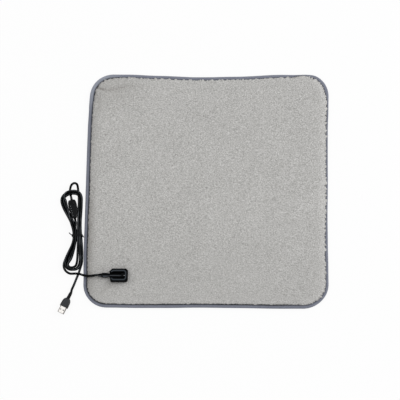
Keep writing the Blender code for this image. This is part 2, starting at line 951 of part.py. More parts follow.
# Hand-chosen route points of the free cord and of the loop at the top, in millimetres
# from the pad's near left corner
lead_route = (
    (21.8, 58.1, 14.7), (15.0, 57.8, 12.9), (8.5, 58.4, 10.7),
    (2.4, 60.0, 8.9), (-3.6, 62.1, 7.7), (-9.4, 63.6, 6.0),
    (-14.6, 64.2, 3.9),
)
top_loop_route = (
    (-27.0, 215.7, 8.2), (-27.4, 218.5, 9.9), (-27.6, 221.8, 10.5), (-27.3, 226.8, 8.7),
    (-26.7, 231.2, 6.0), (-24.6, 235.3, 4.5), (-20.6, 237.3, 4.1), (-16.5, 235.6, 4.5),
    (-14.4, 231.4, 6.2), (-13.4, 226.8, 8.6), (-12.6, 222.4, 10.3), (-12.0, 218.0, 10.5),
    (-11.3, 212.8, 8.8), (-11.1, 206.6, 7.2), (-10.9, 199.6, 6.3),
)
leaving_route = ((-15.5, 150.4, 7.0), (-15.6, 155.6, 6.2))
tail_route = (
    (-3.9, 77.6, 1.8), (-7.2, 65.6, 1.8), (-11.4, 54.0, 1.9),
    (-15.4, 42.6, 2.4), (-18.9, 33.0, 3.4),
)


def placed(route):
    """A route's points in metres, set from the pad's near left corner."""
    return [(left_edge + x * MM, near_edge + y * MM, z * MM) for x, y, z in route]


def controller_place(along, aside, height):
    """A place on the controller: along its axis, to its right, and up."""
    c, s = math.cos(controller_tilt), math.sin(controller_tilt)
    return (
        controller_x + aside * c - along * s,
        controller_y + aside * s + along * c,
        height,
    )


def relief_root(side):
    """Where a controller relief starts: side is minus one for the lower, one for the upper."""
    return side * (controller_length / 2 + parting_gap)


def relief_rise(side, out):
    """The bent relief's height above the axis, and its slope, that far out of the end wall."""
    rise = upper_relief_rise if side > 0 else lower_relief_rise
    share = max(0.0, out) / relief_length_out
    return rise * share * share, 2 * rise * share / relief_length_out


def beyond_relief(side, reach):
    """A place that far past the relief's end, in the direction that it points."""
    height, slope = relief_rise(side, relief_length_out)
    run = reach / math.hypot(1, slope)
    along = relief_root(side) + side * (relief_length_out + run)
    return controller_place(along, 0, controller_axis + height + run * slope)


def usb_place(back, aside, height):
    """A place on the USB plug: back from its tip, to its right, and up."""
    c, s = math.cos(usb_heading), math.sin(usb_heading)
    return usb_tip_x - back * c + aside * s, usb_tip_y - back * s - aside * c, height


def usb_back():
    return usb_shell_exposed + usb_body_length + usb_neck_length


def pad_side_line():
    """The pad side of the cord: from the plug's relief, round the loops, to the controller."""
    left = relief_left() - end_gap
    leave = [(left, socket_y, plug_axis), (left - cord_diameter, socket_y, plug_axis)]
    arrive = [beyond_relief(-1, end_gap + cord_diameter), beyond_relief(-1, end_gap)]
    loops = [tuple(p) for p in pad_side_loops()]
    return leave + placed(lead_route), loops, placed(leaving_route) + arrive


def plug_side_line():
    """The plug side of the cord: from the controller, round the loops, to the USB plug."""
    leave = [beyond_relief(1, end_gap), beyond_relief(1, end_gap + cord_diameter)]
    back = usb_back() + end_gap
    arrive = [usb_place(back + cord_diameter, 0, usb_axis), usb_place(back, 0, usb_axis)]
    loops = [tuple(p) for p in plug_side_loops()]
    return leave + placed(top_loop_route), loops, placed(tail_route) + arrive


def nearest_index(line, place):
    return int(np.linalg.norm(line - np.array(place), axis=1).argmin())


def heading_at(line, index):
    """The direction of a dense line at one of its points."""
    way = line[min(index + 2, len(line) - 1)] - line[max(index - 2, 0)]
    return way / np.linalg.norm(way)


def stubbed(points, end, way):
    """The points with a straight stub of one diameter that starts at end and goes that way."""
    first = 0
    while np.linalg.norm(points[first] - end) < 2 * cord_diameter:
        first += 1
    return np.vstack([[end, end + way * cord_diameter], points[first:]])


def nearest_self(line, clear_run):
    """The least distance between two places of a line that lie far apart along it."""
    run = np.concatenate([[0], np.cumsum(np.linalg.norm(np.diff(line, axis=0), axis=1))])
    least = math.inf
    for i in range(len(line)):
        far = np.abs(run - run[i]) > clear_run
        if far.any():
            least = min(least, float(np.linalg.norm(line[far] - line[i], axis=1).min()))
    return least


def nearest_other(line, other):
    least = math.inf
    for place in line:
        least = min(least, float(np.linalg.norm(other - place, axis=1).min()))
    return least


def thin_line(line, spacing=2.6 * cord_diameter, sharpest=math.radians(20)):
    """Keeps a point each spacing, and more where the line turns."""
    keep, last = [0], 0
    ahead = np.diff(line, axis=0)
    ahead /= np.linalg.norm(ahead, axis=1, keepdims=True)
    for i in range(1, len(line) - 1):
        far = np.linalg.norm(line[i] - line[last])
        bent = math.acos(min(1.0, float(ahead[i] @ ahead[last])))
        if far >= spacing or (bent > sharpest and far > cord_diameter / 2):
            keep.append(i)
            last = i
    if np.linalg.norm(line[-1] - line[last]) < cord_diameter / 2 and last:
        keep.pop()
    return line[keep + [len(line) - 1]]


def make_cords():
    """Both sides of the cord, each cut into its hank and its free run, with printed gaps."""
    lead, loops, arrive = pad_side_line()
    pad_line = smooth_curve(lead + loops + arrive, cord_diameter / 8)
    place = nearest_index(pad_line, loops[0])
    way = heading_at(pad_line, place)
    inner_end = nearest_index(pad_line, loops[-1])
    free = thin_line(pad_line[:place])
    free = stubbed(free[::-1], pad_line[place] - way * end_gap, -way)[::-1]
    wound = np.vstack([loops[1:-1], thin_line(pad_line[inner_end:])])
    wound = stubbed(wound, pad_line[place], way)
    pad_hank = make_run("hank_pad_side", wound)
    make_run("cord_lead", free)

    top, loops, tail = plug_side_line()
    plug_line = smooth_curve(top + loops + tail, cord_diameter / 8)
    place = nearest_index(plug_line, tail[0])
    way = heading_at(plug_line, place)
    inner_start = nearest_index(plug_line, loops[0])
    last_loop = nearest_index(plug_line, loops[-1])
    free = stubbed(thin_line(plug_line[place:]), plug_line[place], way)
    wound = np.vstack([
        thin_line(plug_line[:inner_start + 1]), loops[1:], thin_line(plug_line[last_loop:place])[1:],
    ])
    wound = stubbed(wound[::-1], plug_line[place] - way * end_gap, -way)[::-1]
    plug_hank = make_run("hank_plug_side", wound)
    make_run("cord_tail", free)

    report_gap("hank_pad_side to itself", nearest_self(pad_hank, 4 * cord_diameter))
    report_gap("hank_plug_side to itself", nearest_self(plug_hank, 4 * cord_diameter))
    report_gap("hank_pad_side to hank_plug_side", nearest_other(pad_hank, plug_hank))
    total = line_length(pad_line) + line_length(plug_line)
    print(f"cord length {line_length(pad_line):.3f} + {line_length(plug_line):.3f} = {total:.3f} m")


def report_gap(what, distance):
    print(f"least gap, {what}: {(distance - cord_diameter) / MM:.2f} mm")


def make_run(name, points):
    """One stretch of cord as a tube; it gives back evenly spaced places along it."""
    cord_tube(name, points, cord_diameter, cord_black(), 1 if "hank" in name else tube_sides)
    return even_points(points, cord_diameter / 4)


# The controller


controller_shares = (
    (-0.500, 0.40), (-0.470, 0.48), (-0.40, 0.58), (-0.32, 0.70), (-0.19, 0.88),
    (0.00, 0.99), (0.20, 1.00), (0.36, 0.95), (0.455, 0.80), (0.500, 0.58),
)


def controller_outline(inset):
    """The pear shaped outline of the controller, set in by the given distance."""
    right = [
        (share * (controller_length - 2 * inset), wide * controller_half_width - inset)
        for share, wide in controller_shares
    ]
    left = [(along, -aside) for along, aside in right[::-1]]
    places = [controller_place(along, aside, 0) for along, aside in right + left]
    return [(x, y) for x, y, z in places]


def controller_shell(name, low, high, open_side):
    """One half of the controller: a cup with a wall, open at the parting line."""
    shell = prism(name, controller_outline(0), low, high, black_plastic())
    bevelled(shell, controller_wall * 0.8, segments=2)
    reach = cut_overrun
    inner_low = low - reach if open_side < 0 else low + controller_wall
    inner_high = high + reach if open_side > 0 else high - controller_wall
    hollow = prism(
        name + "_hollow_cutter", controller_outline(controller_wall), inner_low, inner_high,
        black_plastic(),
    )
    cut(shell, hollow)
    for side in (-1, 1):
        cut(shell, relief_core_cutter(name + "_relief_cutter", side))
    return shell


def relief_rings(side, stations, count=12):
    """Round rings square to a relief's bent axis, from (place out of the wall, radius)."""
    rings = []
    for out, radius in stations:
        height, slope = relief_rise(side, out)
        lean = math.atan(slope)
        rings.append([
            controller_place(
                relief_root(side) + side * (out - b * math.sin(lean)), a,
                controller_axis + height + b * math.cos(lean),
            )
            for a, b in circle(radius, radius, count)
        ])
    return rings


def relief_core_cutter(name, side):
    """The round hole in the controller's end wall that the relief's core passes through."""
    radius = relief_core / 2 + running_gap
    reach = controller_wall + cut_overrun
    return loft(name, relief_rings(side, [(-reach, radius), (reach, radius)]), black_plastic())


def make_controller_relief(name, side):
    """A relief of three ribs on a slim core that passes through the end wall."""
    ribs = 3
    core_end = -(parting_gap + controller_wall + layer_gap)
    stations = [(core_end, relief_core / 2), (0, relief_core / 2)]
    for i in range(ribs):
        big = relief_big + (relief_small - relief_big) * i / ribs
        for share, size in ((0.0, big), (0.6, big), (0.64, relief_small), (0.96, relief_small)):
            stations.append((relief_length_out * (i + share) / ribs, size / 2))
    stations.append((relief_length_out, relief_small / 2))
    return loft(name, relief_rings(side, stations), black_plastic())


def light_places():
    """The column of lights, left of the controller's axis and drifting towards it."""
    return [
        (light_first - i * light_pitch, i * light_drift - light_aside)
        for i in range(light_count)
    ]


def round_prism(name, along, aside, radius, low, high, finish, count=12):
    x, y, z = controller_place(along, aside, 0)
    return upright_pin(name, x, y, radius, low, high, finish, count)


def board_top():
    return controller_wall + layer_gap + board_standoff + board_thickness


def make_controller():
    """Both shells, the board, the button, the lights and the two reliefs."""
    parting = controller_height * 0.45
    controller_shell("controller_base", 0, parting - parting_gap / 2, 1)
    cover = controller_shell("controller_cover", parting + parting_gap / 2, controller_height, -1)
    low = controller_height - controller_wall - cut_overrun
    high = controller_height + cut_overrun
    opening = round_prism(
        "button_hole_cutter", button_place, 0, button_diameter / 2 + running_gap, low, high,
        black_plastic(), 20,
    )
    cut(cover, opening)
    for along, aside in light_places():
        hole = round_prism(
            "light_hole_cutter", along, aside, light_diameter / 2 + running_gap, low, high,
            black_plastic(), 10,
        )
        cut(cover, hole)
    make_button()
    make_light_strip()
    make_board()
    make_controller_relief("relief_pad_side", -1)
    make_controller_relief("relief_plug_side", 1)


def make_button():
    """A domed round button whose flange sits under the cover."""
    x, y, z = controller_place(button_place, 0, 0)
    under = controller_height - controller_wall - layer_gap
    top = controller_height + button_proud
    radius = button_diameter / 2
    flange = radius + button_flange_width
    stations = (
        (under - button_flange, flange), (under, flange), (under, radius),
        (top - button_dome, radius), (top, radius * 0.82), (top - button_dome / 2, radius / 2),
    )
    rings = [[(a, b, h) for a, b in circle(r, r, 20)] for h, r in stations]
    button = loft("control_button", rings, black_plastic())
    button.location = (x, y, 0)
    return button


def make_light_strip():
    """A clear strip under the cover with a peg in each light hole."""
    under = controller_height - controller_wall - layer_gap
    thickness = light_diameter * 0.7
    half = light_diameter * 0.62
    places = light_places()
    (high, high_aside), (low, low_aside) = places[0], places[-1]
    outline = [
        controller_place(high + 2 * half, high_aside + half, 0)[:2],
        controller_place(low - half, low_aside + half, 0)[:2],
        controller_place(low - half, low_aside - half, 0)[:2],
        controller_place(high + 2 * half, high_aside - half, 0)[:2],
    ]
    strip = prism("light_strip", outline, under - thickness, under, light_lens())
    for along, aside in places:
        peg = round_prism(
            "light_peg", along, aside, light_diameter / 2, under - thickness / 2,
            controller_height - layer_gap / 2, light_lens(), 10,
        )
        join(strip, peg)
    return strip


def make_board():
    """The circuit board with its switch under the button."""
    top = board_top()
    inset = controller_wall + 2 * layer_gap
    board = prism(
        "control_board", controller_outline(inset), top - board_thickness, top, board_green()
    )
    flange_bottom = controller_height - controller_wall - layer_gap - button_flange
    switch_top = flange_bottom - button_travel - layer_gap
    half = button_diameter * 0.4
    corners = [(-half, -half), (half, -half), (half, half), (-half, half)]
    outline = [controller_place(button_place + a, b, 0)[:2] for a, b in corners]
    switch = prism("switch_body", outline, top - board_thickness / 2, switch_top, board_green())
    return join(board, switch)


# The tie and the USB plug


def tie_span():
    """The tie's inner left and right: the outermost strands where they pass through it."""
    loop = hank_outline(loop_stations(0, 2 * math.pi))
    crossings = []
    for y in (tie_y - tie_width / 2, tie_y + tie_width / 2):
        for a, b in zip(loop, np.roll(loop, -1, axis=0)):
            if (a[1] - y) * (b[1] - y) <= 0:
                crossings.append(a[0] + (b[0] - a[0]) * (y - a[1]) / (b[1] - a[1]))
    half = cord_diameter / 2 + tie_gap
    return min(crossings) - half, max(crossings) + half


def make_twist_tie():
    """A flat band round the strands, with a tail standing out at each side."""
    left, right = tie_span()
    low, high = tie_thickness, high_layer + tie_lift + cord_diameter / 2 + tie_gap
    middle_x, middle_z = (left + right) / 2, (low + high) / 2
    half_x, half_z = (right - left) / 2, (high - low) / 2
    rings = []
    for y, grow in (
        (-tie_width / 2, 0), (-tie_width / 2, tie_thickness),
        (tie_width / 2, tie_thickness), (tie_width / 2, 0),
    ):
        section = superellipse(half_x + grow, half_z + grow, 12, 28)
        rings.append([(middle_x + a, tie_y + y, middle_z + b) for a, b in section])
    band = loft("twist_tie", rings, black_plastic(), ends="closed")
    for side, reach in ((-1, 1.0), (1, tie_short_tail_share)):
        root = middle_x + side * half_x
        tail = [
            (root, tie_y, middle_z + half_z / 2),
            (root + side * tie_tail * reach * 0.5, tie_y - side * tie_tail * 0.3, middle_z + half_z),
            (root + side * tie_tail * reach, tie_y - side * tie_tail * 0.8, middle_z + half_z),
        ]
        join(band, strip_solid("tie_tail", tail, tie_width / 2, tie_thickness))
    return band


def strip_solid(name, line, width, thickness):
    """A flat strip along a short line, as rings of a rectangle."""
    rings = []
    points = [Vector(p) for p in line]
    for i, p in enumerate(points):
        way = points[min(i + 1, len(points) - 1)] - points[max(i - 1, 0)]
        across = Vector((-way.y, way.x, 0)).normalized() * width / 2
        up = Vector((0, 0, thickness / 2))
        rings.append([p + across + up, p - across + up, p - across - up, p + across - up])
    return loft(name, rings, black_plastic())


usb_body_shares = (
    (0.00, 1.00), (0.30, 1.00), (0.52, 0.985), (0.68, 0.93), (0.80, 0.83), (0.90, 0.68),
    (0.965, 0.52), (1.00, 0.42),
)


def usb_rings(stations, count=20):
    """Rings across the USB plug from (place back, half width, half height, power)."""
    rings = []
    for back, half_w, half_h, power in stations:
        section = superellipse(half_w, half_h, power, count)
        rings.append([usb_place(back, a, usb_axis + b) for a, b in section])
    return rings


def make_usb_overmold():
    """The bullet shaped grip with its ribbed neck, and the pocket that the shell sits in."""
    front = usb_shell_exposed
    stations = []
    for along, wide in usb_body_shares:
        half_w = usb_body_width / 2 * wide
        half_h = usb_body_height / 2 * (1 - (1 - wide) * 0.55)
        power = 2 + 3 * (1 - along)
        stations.append((front + usb_body_length * along, half_w, half_h, power))
    neck = usb_neck_diameter / 2
    start, ribs = front + usb_body_length, 3
    for i in range(ribs):
        low = start + usb_neck_length * (i + 0.15) / ribs
        high = start + usb_neck_length * (i + 0.80) / ribs
        r = neck * (1 - 0.08 * i)
        slim = r * 0.84
        stations += [(low, slim, slim, 2), (low + usb_rib_edge, r, r, 2), (high, r, r, 2)]
        stations.append((high + usb_rib_edge, slim, slim, 2))
    stations.append((usb_back(), neck * 0.7, neck * 0.7, 2))
    body = loft("usb_overmold", usb_rings(stations), black_plastic())
    margin = layer_gap
    half_w, half_h = usb_shell_width / 2 + margin, usb_shell_height / 2 + margin
    pocket = loft(
        "usb_pocket_cutter",
        usb_rings([
            (front - cut_overrun, half_w, half_h, 12),
            (front + usb_seat_depth, half_w, half_h, 12),
        ]),
        black_plastic(),
    )
    return cut(body, pocket)


def usb_box(name, back_low, back_high, aside_low, aside_high, low, high, finish):
    """A box in the USB plug's own directions."""
    outline = [
        usb_place(back, aside, 0)[:2]
        for back, aside in (
            (back_low, aside_low), (back_high, aside_low),
            (back_high, aside_high), (back_low, aside_high),
        )
    ]
    return prism(name, outline, low, high, finish)


def make_usb_shell():
    """The folded metal shell with two square windows in its top and bottom."""
    half_w, half_h = usb_shell_width / 2, usb_shell_height / 2
    back = usb_shell_exposed + usb_seat_depth - layer_gap
    shell = usb_box(
        "usb_shell", 0, back, -half_w, half_w, usb_axis - half_h, usb_axis + half_h,
        bright_metal(),
    )
    bevelled(shell, usb_shell_wall, segments=2)
    inner_w, inner_h = half_w - usb_shell_wall, half_h - usb_shell_wall
    hollow = usb_box(
        "usb_hollow_cutter", -cut_overrun, back + cut_overrun, -inner_w, inner_w,
        usb_axis - inner_h, usb_axis + inner_h, bright_metal(),
    )
    cut(shell, hollow)
    for side in (-1, 1):
        middle = side * usb_window_spacing / 2
        window = usb_box(
            "usb_window_cutter", usb_shell_exposed / 2 - usb_window / 2,
            usb_shell_exposed / 2 + usb_window / 2, middle - usb_window / 2,
            middle + usb_window / 2, usb_axis - half_h - cut_overrun,
            usb_axis + half_h + cut_overrun, bright_metal(),
        )
        cut(shell, window)
    return shell


def make_usb_tongue():
    """The plastic tongue in the lower half of the shell."""
    half_w = usb_shell_width / 2 - usb_shell_wall - layer_gap
    low = usb_axis - usb_shell_height / 2 + usb_shell_wall + layer_gap / 2
    back = usb_shell_exposed + usb_seat_depth - layer_gap
    return usb_box(
        "usb_tongue", usb_shell_wall, back, -half_w, half_w, low, low + usb_tongue_thickness,
        black_plastic(),
    )


def main():
    clear_scene()
    make_base_cloth()
    make_flat_layer("insulation_felt", felt_inset, felt_bottom, felt_thickness, pale_felt())
    make_flat_layer(
        "element_carrier", felt_inset, carrier_bottom, carrier_thickness, pale_felt()
    )
    cord_tube("heating_wire", element_line(), element_diameter, wire_red())
    make_thermal_cutout()
    make_lead_wires()
    make_wadding()
    make_plush_top()
    make_edge_binding()
    make_socket_housing()
    make_socket_backplate()
    make_backplate_screws()
    make_jack()
    make_plug()
    make_controller()
    make_cords()
    make_twist_tie()
    make_usb_overmold()
    make_usb_shell()
    make_usb_tongue()


main()
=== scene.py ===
import math
from functools import cache

import bmesh
import bpy
import numpy as np
from mathutils import Matrix, Vector


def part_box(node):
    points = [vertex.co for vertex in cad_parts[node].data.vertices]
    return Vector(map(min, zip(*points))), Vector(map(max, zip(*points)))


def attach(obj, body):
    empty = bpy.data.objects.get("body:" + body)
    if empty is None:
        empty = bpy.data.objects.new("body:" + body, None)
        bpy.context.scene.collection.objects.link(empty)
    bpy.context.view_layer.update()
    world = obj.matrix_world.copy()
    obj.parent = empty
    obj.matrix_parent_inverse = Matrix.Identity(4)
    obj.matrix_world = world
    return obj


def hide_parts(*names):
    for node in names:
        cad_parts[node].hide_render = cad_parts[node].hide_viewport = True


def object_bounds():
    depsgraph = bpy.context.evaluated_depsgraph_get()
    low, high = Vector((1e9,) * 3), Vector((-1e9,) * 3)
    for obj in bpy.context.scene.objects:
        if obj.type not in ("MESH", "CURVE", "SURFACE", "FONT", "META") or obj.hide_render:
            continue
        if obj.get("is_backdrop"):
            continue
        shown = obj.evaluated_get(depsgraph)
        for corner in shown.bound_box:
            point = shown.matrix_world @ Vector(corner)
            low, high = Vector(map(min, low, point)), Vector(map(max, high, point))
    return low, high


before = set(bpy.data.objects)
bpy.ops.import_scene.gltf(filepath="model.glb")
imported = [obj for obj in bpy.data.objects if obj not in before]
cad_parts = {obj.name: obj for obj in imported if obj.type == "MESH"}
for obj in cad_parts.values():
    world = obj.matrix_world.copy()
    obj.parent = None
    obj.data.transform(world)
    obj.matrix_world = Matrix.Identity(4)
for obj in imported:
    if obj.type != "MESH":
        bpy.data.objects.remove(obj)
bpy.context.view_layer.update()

MM = 0.001

# Sizes that the looks share with the solids, in metres
PAD_WIDTH, PAD_DEPTH, CORNER = 0.450, 0.452, 0.0465
FAR_DRAW, SIDE_DRAW = 0.0048, 0.0008
LIP, BINDING_HEIGHT = 0.0098, 0.0063
LEFT, NEAR = -PAD_WIDTH / 2, -PAD_DEPTH / 2
SOCKET_UP = 0.0584
CORD, END_GAP = 0.0036, 0.0003
JACKET = CORD + 0.0008
PITCH = CORD + 0.0006
CORD_LOW = CORD / 2
CORD_HIGH = CORD_LOW + PITCH
CONTROLLER, CONTROLLER_TILT = (LEFT - 0.0211, NEAR + 0.1872, 0.004), math.radians(11.8)
CONTROLLER_HALF, PARTING, RELIEF = 0.0175, 0.0002, 0.0055
RELIEF_RISE = {-1: 0.0005, 1: 0.0012}
USB_TIP, USB_HEADING = (LEFT - 0.0374, NEAR - 0.0096, 0.004), math.radians(245.2)
USB_SHELL, USB_BODY, USB_NECK = 0.0123, 0.018, 0.009

# Sizes of the looks alone, in metres
LINE_STEP, PATH_STEP, UV_LENGTH = 0.0008, 0.003, 0.01
SLEEVE_OVER, SLEEVE_LENGTH, RIB_DEPTH = 0.0095, 0.0130, 0.00016
SEAM_PITCH, SEAM_RADIUS, SEAM_INSET, NUDGE = 0.0033, 0.00033, LIP - 0.0019, 0.0001
STITCH_SHARE, STITCH_ARCH, STITCH_SUNK = 0.82, 0.00016, 0.00045
GATHER_PITCH, GATHER_DEPTH, WAVE_BACK, WAVE_LIP = 0.00598, 0.00028, 0.00007, 0.00022
CLOTH_THICK, FLOOR_HALF, FLOOR_LEVEL = 0.0009, 6, -0.0004

# The camera, at the photograph's angle
CAMERA_TURNS = 9.750, 73.439, -9.162
CAMERA_TARGET, CAMERA_ASIDE, CAMERA_UP = (-0.01077, -0.0197, 0), -0.0012, 0.00046
CAMERA_DISTANCE = 3.6975


def place_camera():
    """A long lens on the photograph's line of sight, rolled as the photograph is."""
    azimuth, height, roll = (math.radians(a) for a in CAMERA_TURNS)
    back = Vector((
        math.sin(azimuth) * math.cos(height), -math.cos(azimuth) * math.cos(height),
        math.sin(height),
    ))
    level = Vector((math.cos(azimuth), math.sin(azimuth), 0))
    rise = back.cross(level)
    right = level * math.cos(roll) + rise * math.sin(roll)
    up = rise * math.cos(roll) - level * math.sin(roll)
    lens = bpy.data.cameras.new("camera")
    lens.lens, lens.sensor_width, lens.clip_end = 180, 36, 30
    eye = new_object("camera", lens)
    target = Vector(CAMERA_TARGET) + right * CAMERA_ASIDE + up * CAMERA_UP
    spot = target + back * CAMERA_DISTANCE
    turn = Matrix((right, up, back)).transposed().to_4x4()
    eye.matrix_world = Matrix.Translation(spot) @ turn
    bpy.context.scene.camera = eye


# Meshes worked out as arrays


def new_object(name, data):
    thing = bpy.data.objects.new(name, data)
    bpy.context.scene.collection.objects.link(thing)
    return thing


def new_mesh(name, points, faces, uv=None):
    """A mesh object from arrays of points, faces of one size, and a UV for each point."""
    mesh = bpy.data.meshes.new(name)
    points = np.asarray(points, np.float32).reshape(-1, 3)
    faces = np.asarray(faces, np.int32)
    mesh.vertices.add(len(points))
    mesh.vertices.foreach_set("co", points.ravel())
    mesh.loops.add(faces.size)
    mesh.loops.foreach_set("vertex_index", faces.ravel())
    mesh.polygons.add(len(faces))
    starts = np.arange(0, faces.size, faces.shape[1], dtype=np.int32)
    mesh.polygons.foreach_set("loop_start", starts)
    mesh.update(calc_edges=True)
    mesh.shade_smooth()
    if uv is not None:
        layer = mesh.uv_layers.new(name="along")
        corners = np.asarray(uv, np.float32).reshape(-1, 2)[faces]
        layer.data.foreach_set("uv", corners.ravel())
    return new_object(name, mesh)


def grid_faces(rows, columns, wrap_rows=False, wrap_columns=False):
    """Quads over a grid of points, closed round in either direction if asked."""
    i = np.arange(rows if wrap_rows else rows - 1)[:, None]
    j = np.arange(columns if wrap_columns else columns - 1)[None, :]
    i2, j2 = (i + 1) % rows, (j + 1) % columns
    quads = np.stack([i * columns + j, i * columns + j2, i2 * columns + j2, i2 * columns + j], -1)
    return quads.reshape(-1, 4)


def smooth_noise(n, wave, seed, stretch=1.0, band=0.35):
    """Seeded noise on a square grid over the pad, with humps about one wavelength apart:
    white noise whose spectrum is multiplied by a bell there, scaled to a spread of one."""
    white = np.random.default_rng(seed).standard_normal((n, n))
    fy, fx = np.fft.fftfreq(n, PAD_WIDTH / n), np.fft.rfftfreq(n, PAD_WIDTH / n)
    reach = np.hypot(fy[:, None], fx * stretch) * wave
    spectrum = np.fft.rfft2(white) * np.exp(-0.5 * ((reach - 1) / band) ** 2)
    spectrum[0, 0] = 0
    field = np.fft.irfft2(spectrum, (n, n))
    return field / field.std()


def ramp(value, start, end):
    """A smooth step from 0 at start to 1 at end."""
    share = np.clip((np.asarray(value, float) - start) / (end - start), 0, 1)
    return share * share * (3 - 2 * share)


def running_sum(steps):
    """The sums of the steps, from 0 on."""
    return np.concatenate([[0], np.cumsum(steps)])


def step_lengths(line):
    return np.linalg.norm(np.diff(line, axis=0), axis=1)


def unit(vectors):
    """The same directions with a length of one."""
    return vectors / np.linalg.norm(vectors, axis=-1, keepdims=True)


def bell(value, reach):
    """1 where the value is 0, falling off to 1 / e where it is as large as the reach."""
    return np.exp(-((value / reach) ** 2))


def box_middle(name):
    """The middle of a CAD node's box, and half of its size."""
    low, high = (np.array(corner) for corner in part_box(name))
    return (low + high) / 2, (high - low) / 2


# The cord's line, with the same routes as the solids


def root_gap(first, second):
    return np.sqrt(np.linalg.norm(second - first, axis=-1, keepdims=True))


def between(t, start, end, first, last):
    """The place at t on the straight way from first, at start, to last, at end."""
    return (end - t) / (end - start) * first + (t - start) / (end - start) * last


def spline(points, spacing):
    """A centripetal spline through the points, read off at an even spacing."""
    pts = np.array(points, float)
    pts = np.vstack([2 * pts[0] - pts[1], pts, 2 * pts[-1] - pts[-2]])
    a, b, c, d = pts[:-3, None], pts[1:-2, None], pts[2:-1, None], pts[3:, None]
    t1 = root_gap(a, b)
    t2 = t1 + root_gap(b, c)
    t3 = t2 + root_gap(c, d)
    t = t1 + (t2 - t1) * np.linspace(0, 1, 24, endpoint=False)[None, :, None]
    one, two, three = between(t, 0, t1, a, b), between(t, t1, t2, b, c), between(t, t2, t3, c, d)
    four, five = between(t, 0, t2, one, two), between(t, t1, t3, two, three)
    dense = between(t, t1, t2, four, five).reshape(-1, 3)
    return even_line(np.vstack([dense, pts[-2:-1]]), spacing)


def even_line(line, spacing):
    """The same line with evenly spaced points."""
    run = running_sum(step_lengths(line))
    places = np.linspace(0, run[-1], max(2, round(run[-1] / spacing) + 1))
    return np.stack([np.interp(places, run, line[:, k]) for k in range(3)], -1)


HANK_LENGTH, HANK_MIDDLE = 0.1528, NEAR + 0.1454
HALF_WIDTH = (0.0235, 0.0040, 0.0168)
SWAY = (LEFT - 0.0183, -0.0039, -0.0037, 0.0021, 0.0020)
TIE_Y, TIE_LIFT, TIE_REACH = NEAR + 0.136, 0.0014, 0.034
LOOP_POINTS, TURN_WEIGHT, SLACK = 24, 2.6, 1.2
HANK_CORE, FAN_LOW, FAN_LEFT = 0.0030, 1.12, 1.9


def half_width(a):
    return HALF_WIDTH[0] + HALF_WIDTH[1] * np.cos(a) + HALF_WIDTH[2] * np.cos(2 * a)


def hank_outline(a):
    """x = sum of sway terms times cos(k a), plus sin(a) times the half width, which itself
    varies with cos(a) and cos(2a); y = middle + half the length times cos(a)."""
    sway = sum(term * np.cos(k * a) for k, term in enumerate(SWAY))
    y = HANK_MIDDLE + HANK_LENGTH / 2 * np.cos(a)
    return np.stack([sway + np.sin(a) * half_width(a), y], -1)


def hank_point(a, pitches, height):
    """A place that many pitches inside the outer loop, raised over the tie's band."""
    step = 1e-4
    along = unit(hank_outline(a + step) - hank_outline(a - step))
    inward = np.stack([along[..., 1], -along[..., 0]], -1)
    place = hank_outline(a) + inward * (pitches * PITCH)[..., None]
    lift = TIE_LIFT * bell(place[..., 1] - TIE_Y, TIE_REACH)
    return np.concatenate([place, (height + lift)[..., None]], -1)


def fan_below(a):
    """Pitches that the upper layer lies further in, below the waist, to fill the width."""
    spare = (np.abs(np.sin(a)) * half_width(a) - HANK_CORE) / PITCH - 1
    return np.clip(spare, 0, FAN_LOW) * (np.cos(a) < 0)


def fan(a):
    """The fan of a whole loop: nothing at the waist and the folds."""
    past_waist = np.mod(a, math.tau) - 3 * math.pi / 2
    left = ramp(past_waist, 0.15, 0.75) - ramp(past_waist, 0.8, 1.3)
    return fan_below(a) * (1 - ramp(-np.cos(a), 0.6, 0.93)) + FAN_LEFT * left


def loop_stations(start, end):
    """Angles spaced evenly in a measure of both length and turning, repeated each loop."""
    angles = np.linspace(0, math.tau, 1441)
    steps = np.diff(hank_outline(angles), axis=0)
    heading = np.unwrap(np.arctan2(steps[:, 1], steps[:, 0]))
    turning = np.abs(np.diff(heading, append=heading[0] - math.tau))
    lengths = np.linalg.norm(steps, axis=1)
    measure = running_sum(lengths / lengths.sum() + TURN_WEIGHT * turning / turning.sum())
    once = np.interp(measure[-1] * np.arange(LOOP_POINTS) / LOOP_POINTS, measure, angles)
    every = np.concatenate([once + math.tau * i for i in range(3)])
    return every[(every >= start) & (every <= end)]


def pad_side_loops():
    a = loop_stations(math.pi * 1.02, math.pi * 3.5)
    slack = SLACK * (1 - ramp(a, math.pi, math.pi + 1.15))
    inward = ramp(a, 3 * math.pi - 0.8, 3 * math.pi + 0.8)
    height = CORD_LOW + PITCH * ramp(a, math.pi, math.pi + 0.75)
    fanned = fan(a) * ramp(a, math.pi + 1.0, math.pi + 1.4)
    return hank_point(a, inward - slack + fanned, height)


def plug_side_loops():
    a = loop_stations(0.9, math.pi * 5 - 0.62)
    aside = np.maximum.accumulate(fan_below(a))
    back = FAN_LOW * ramp(a, math.pi - 0.45, math.pi + 0.85)
    out = ramp(a, 3 * math.pi - 0.45, 3 * math.pi + 0.85)
    height = CORD_HIGH - PITCH * ramp(a, math.pi / 2 + 0.7, math.pi / 2 + 1.15)
    return hank_point(a, 1 + aside - back - out, height)


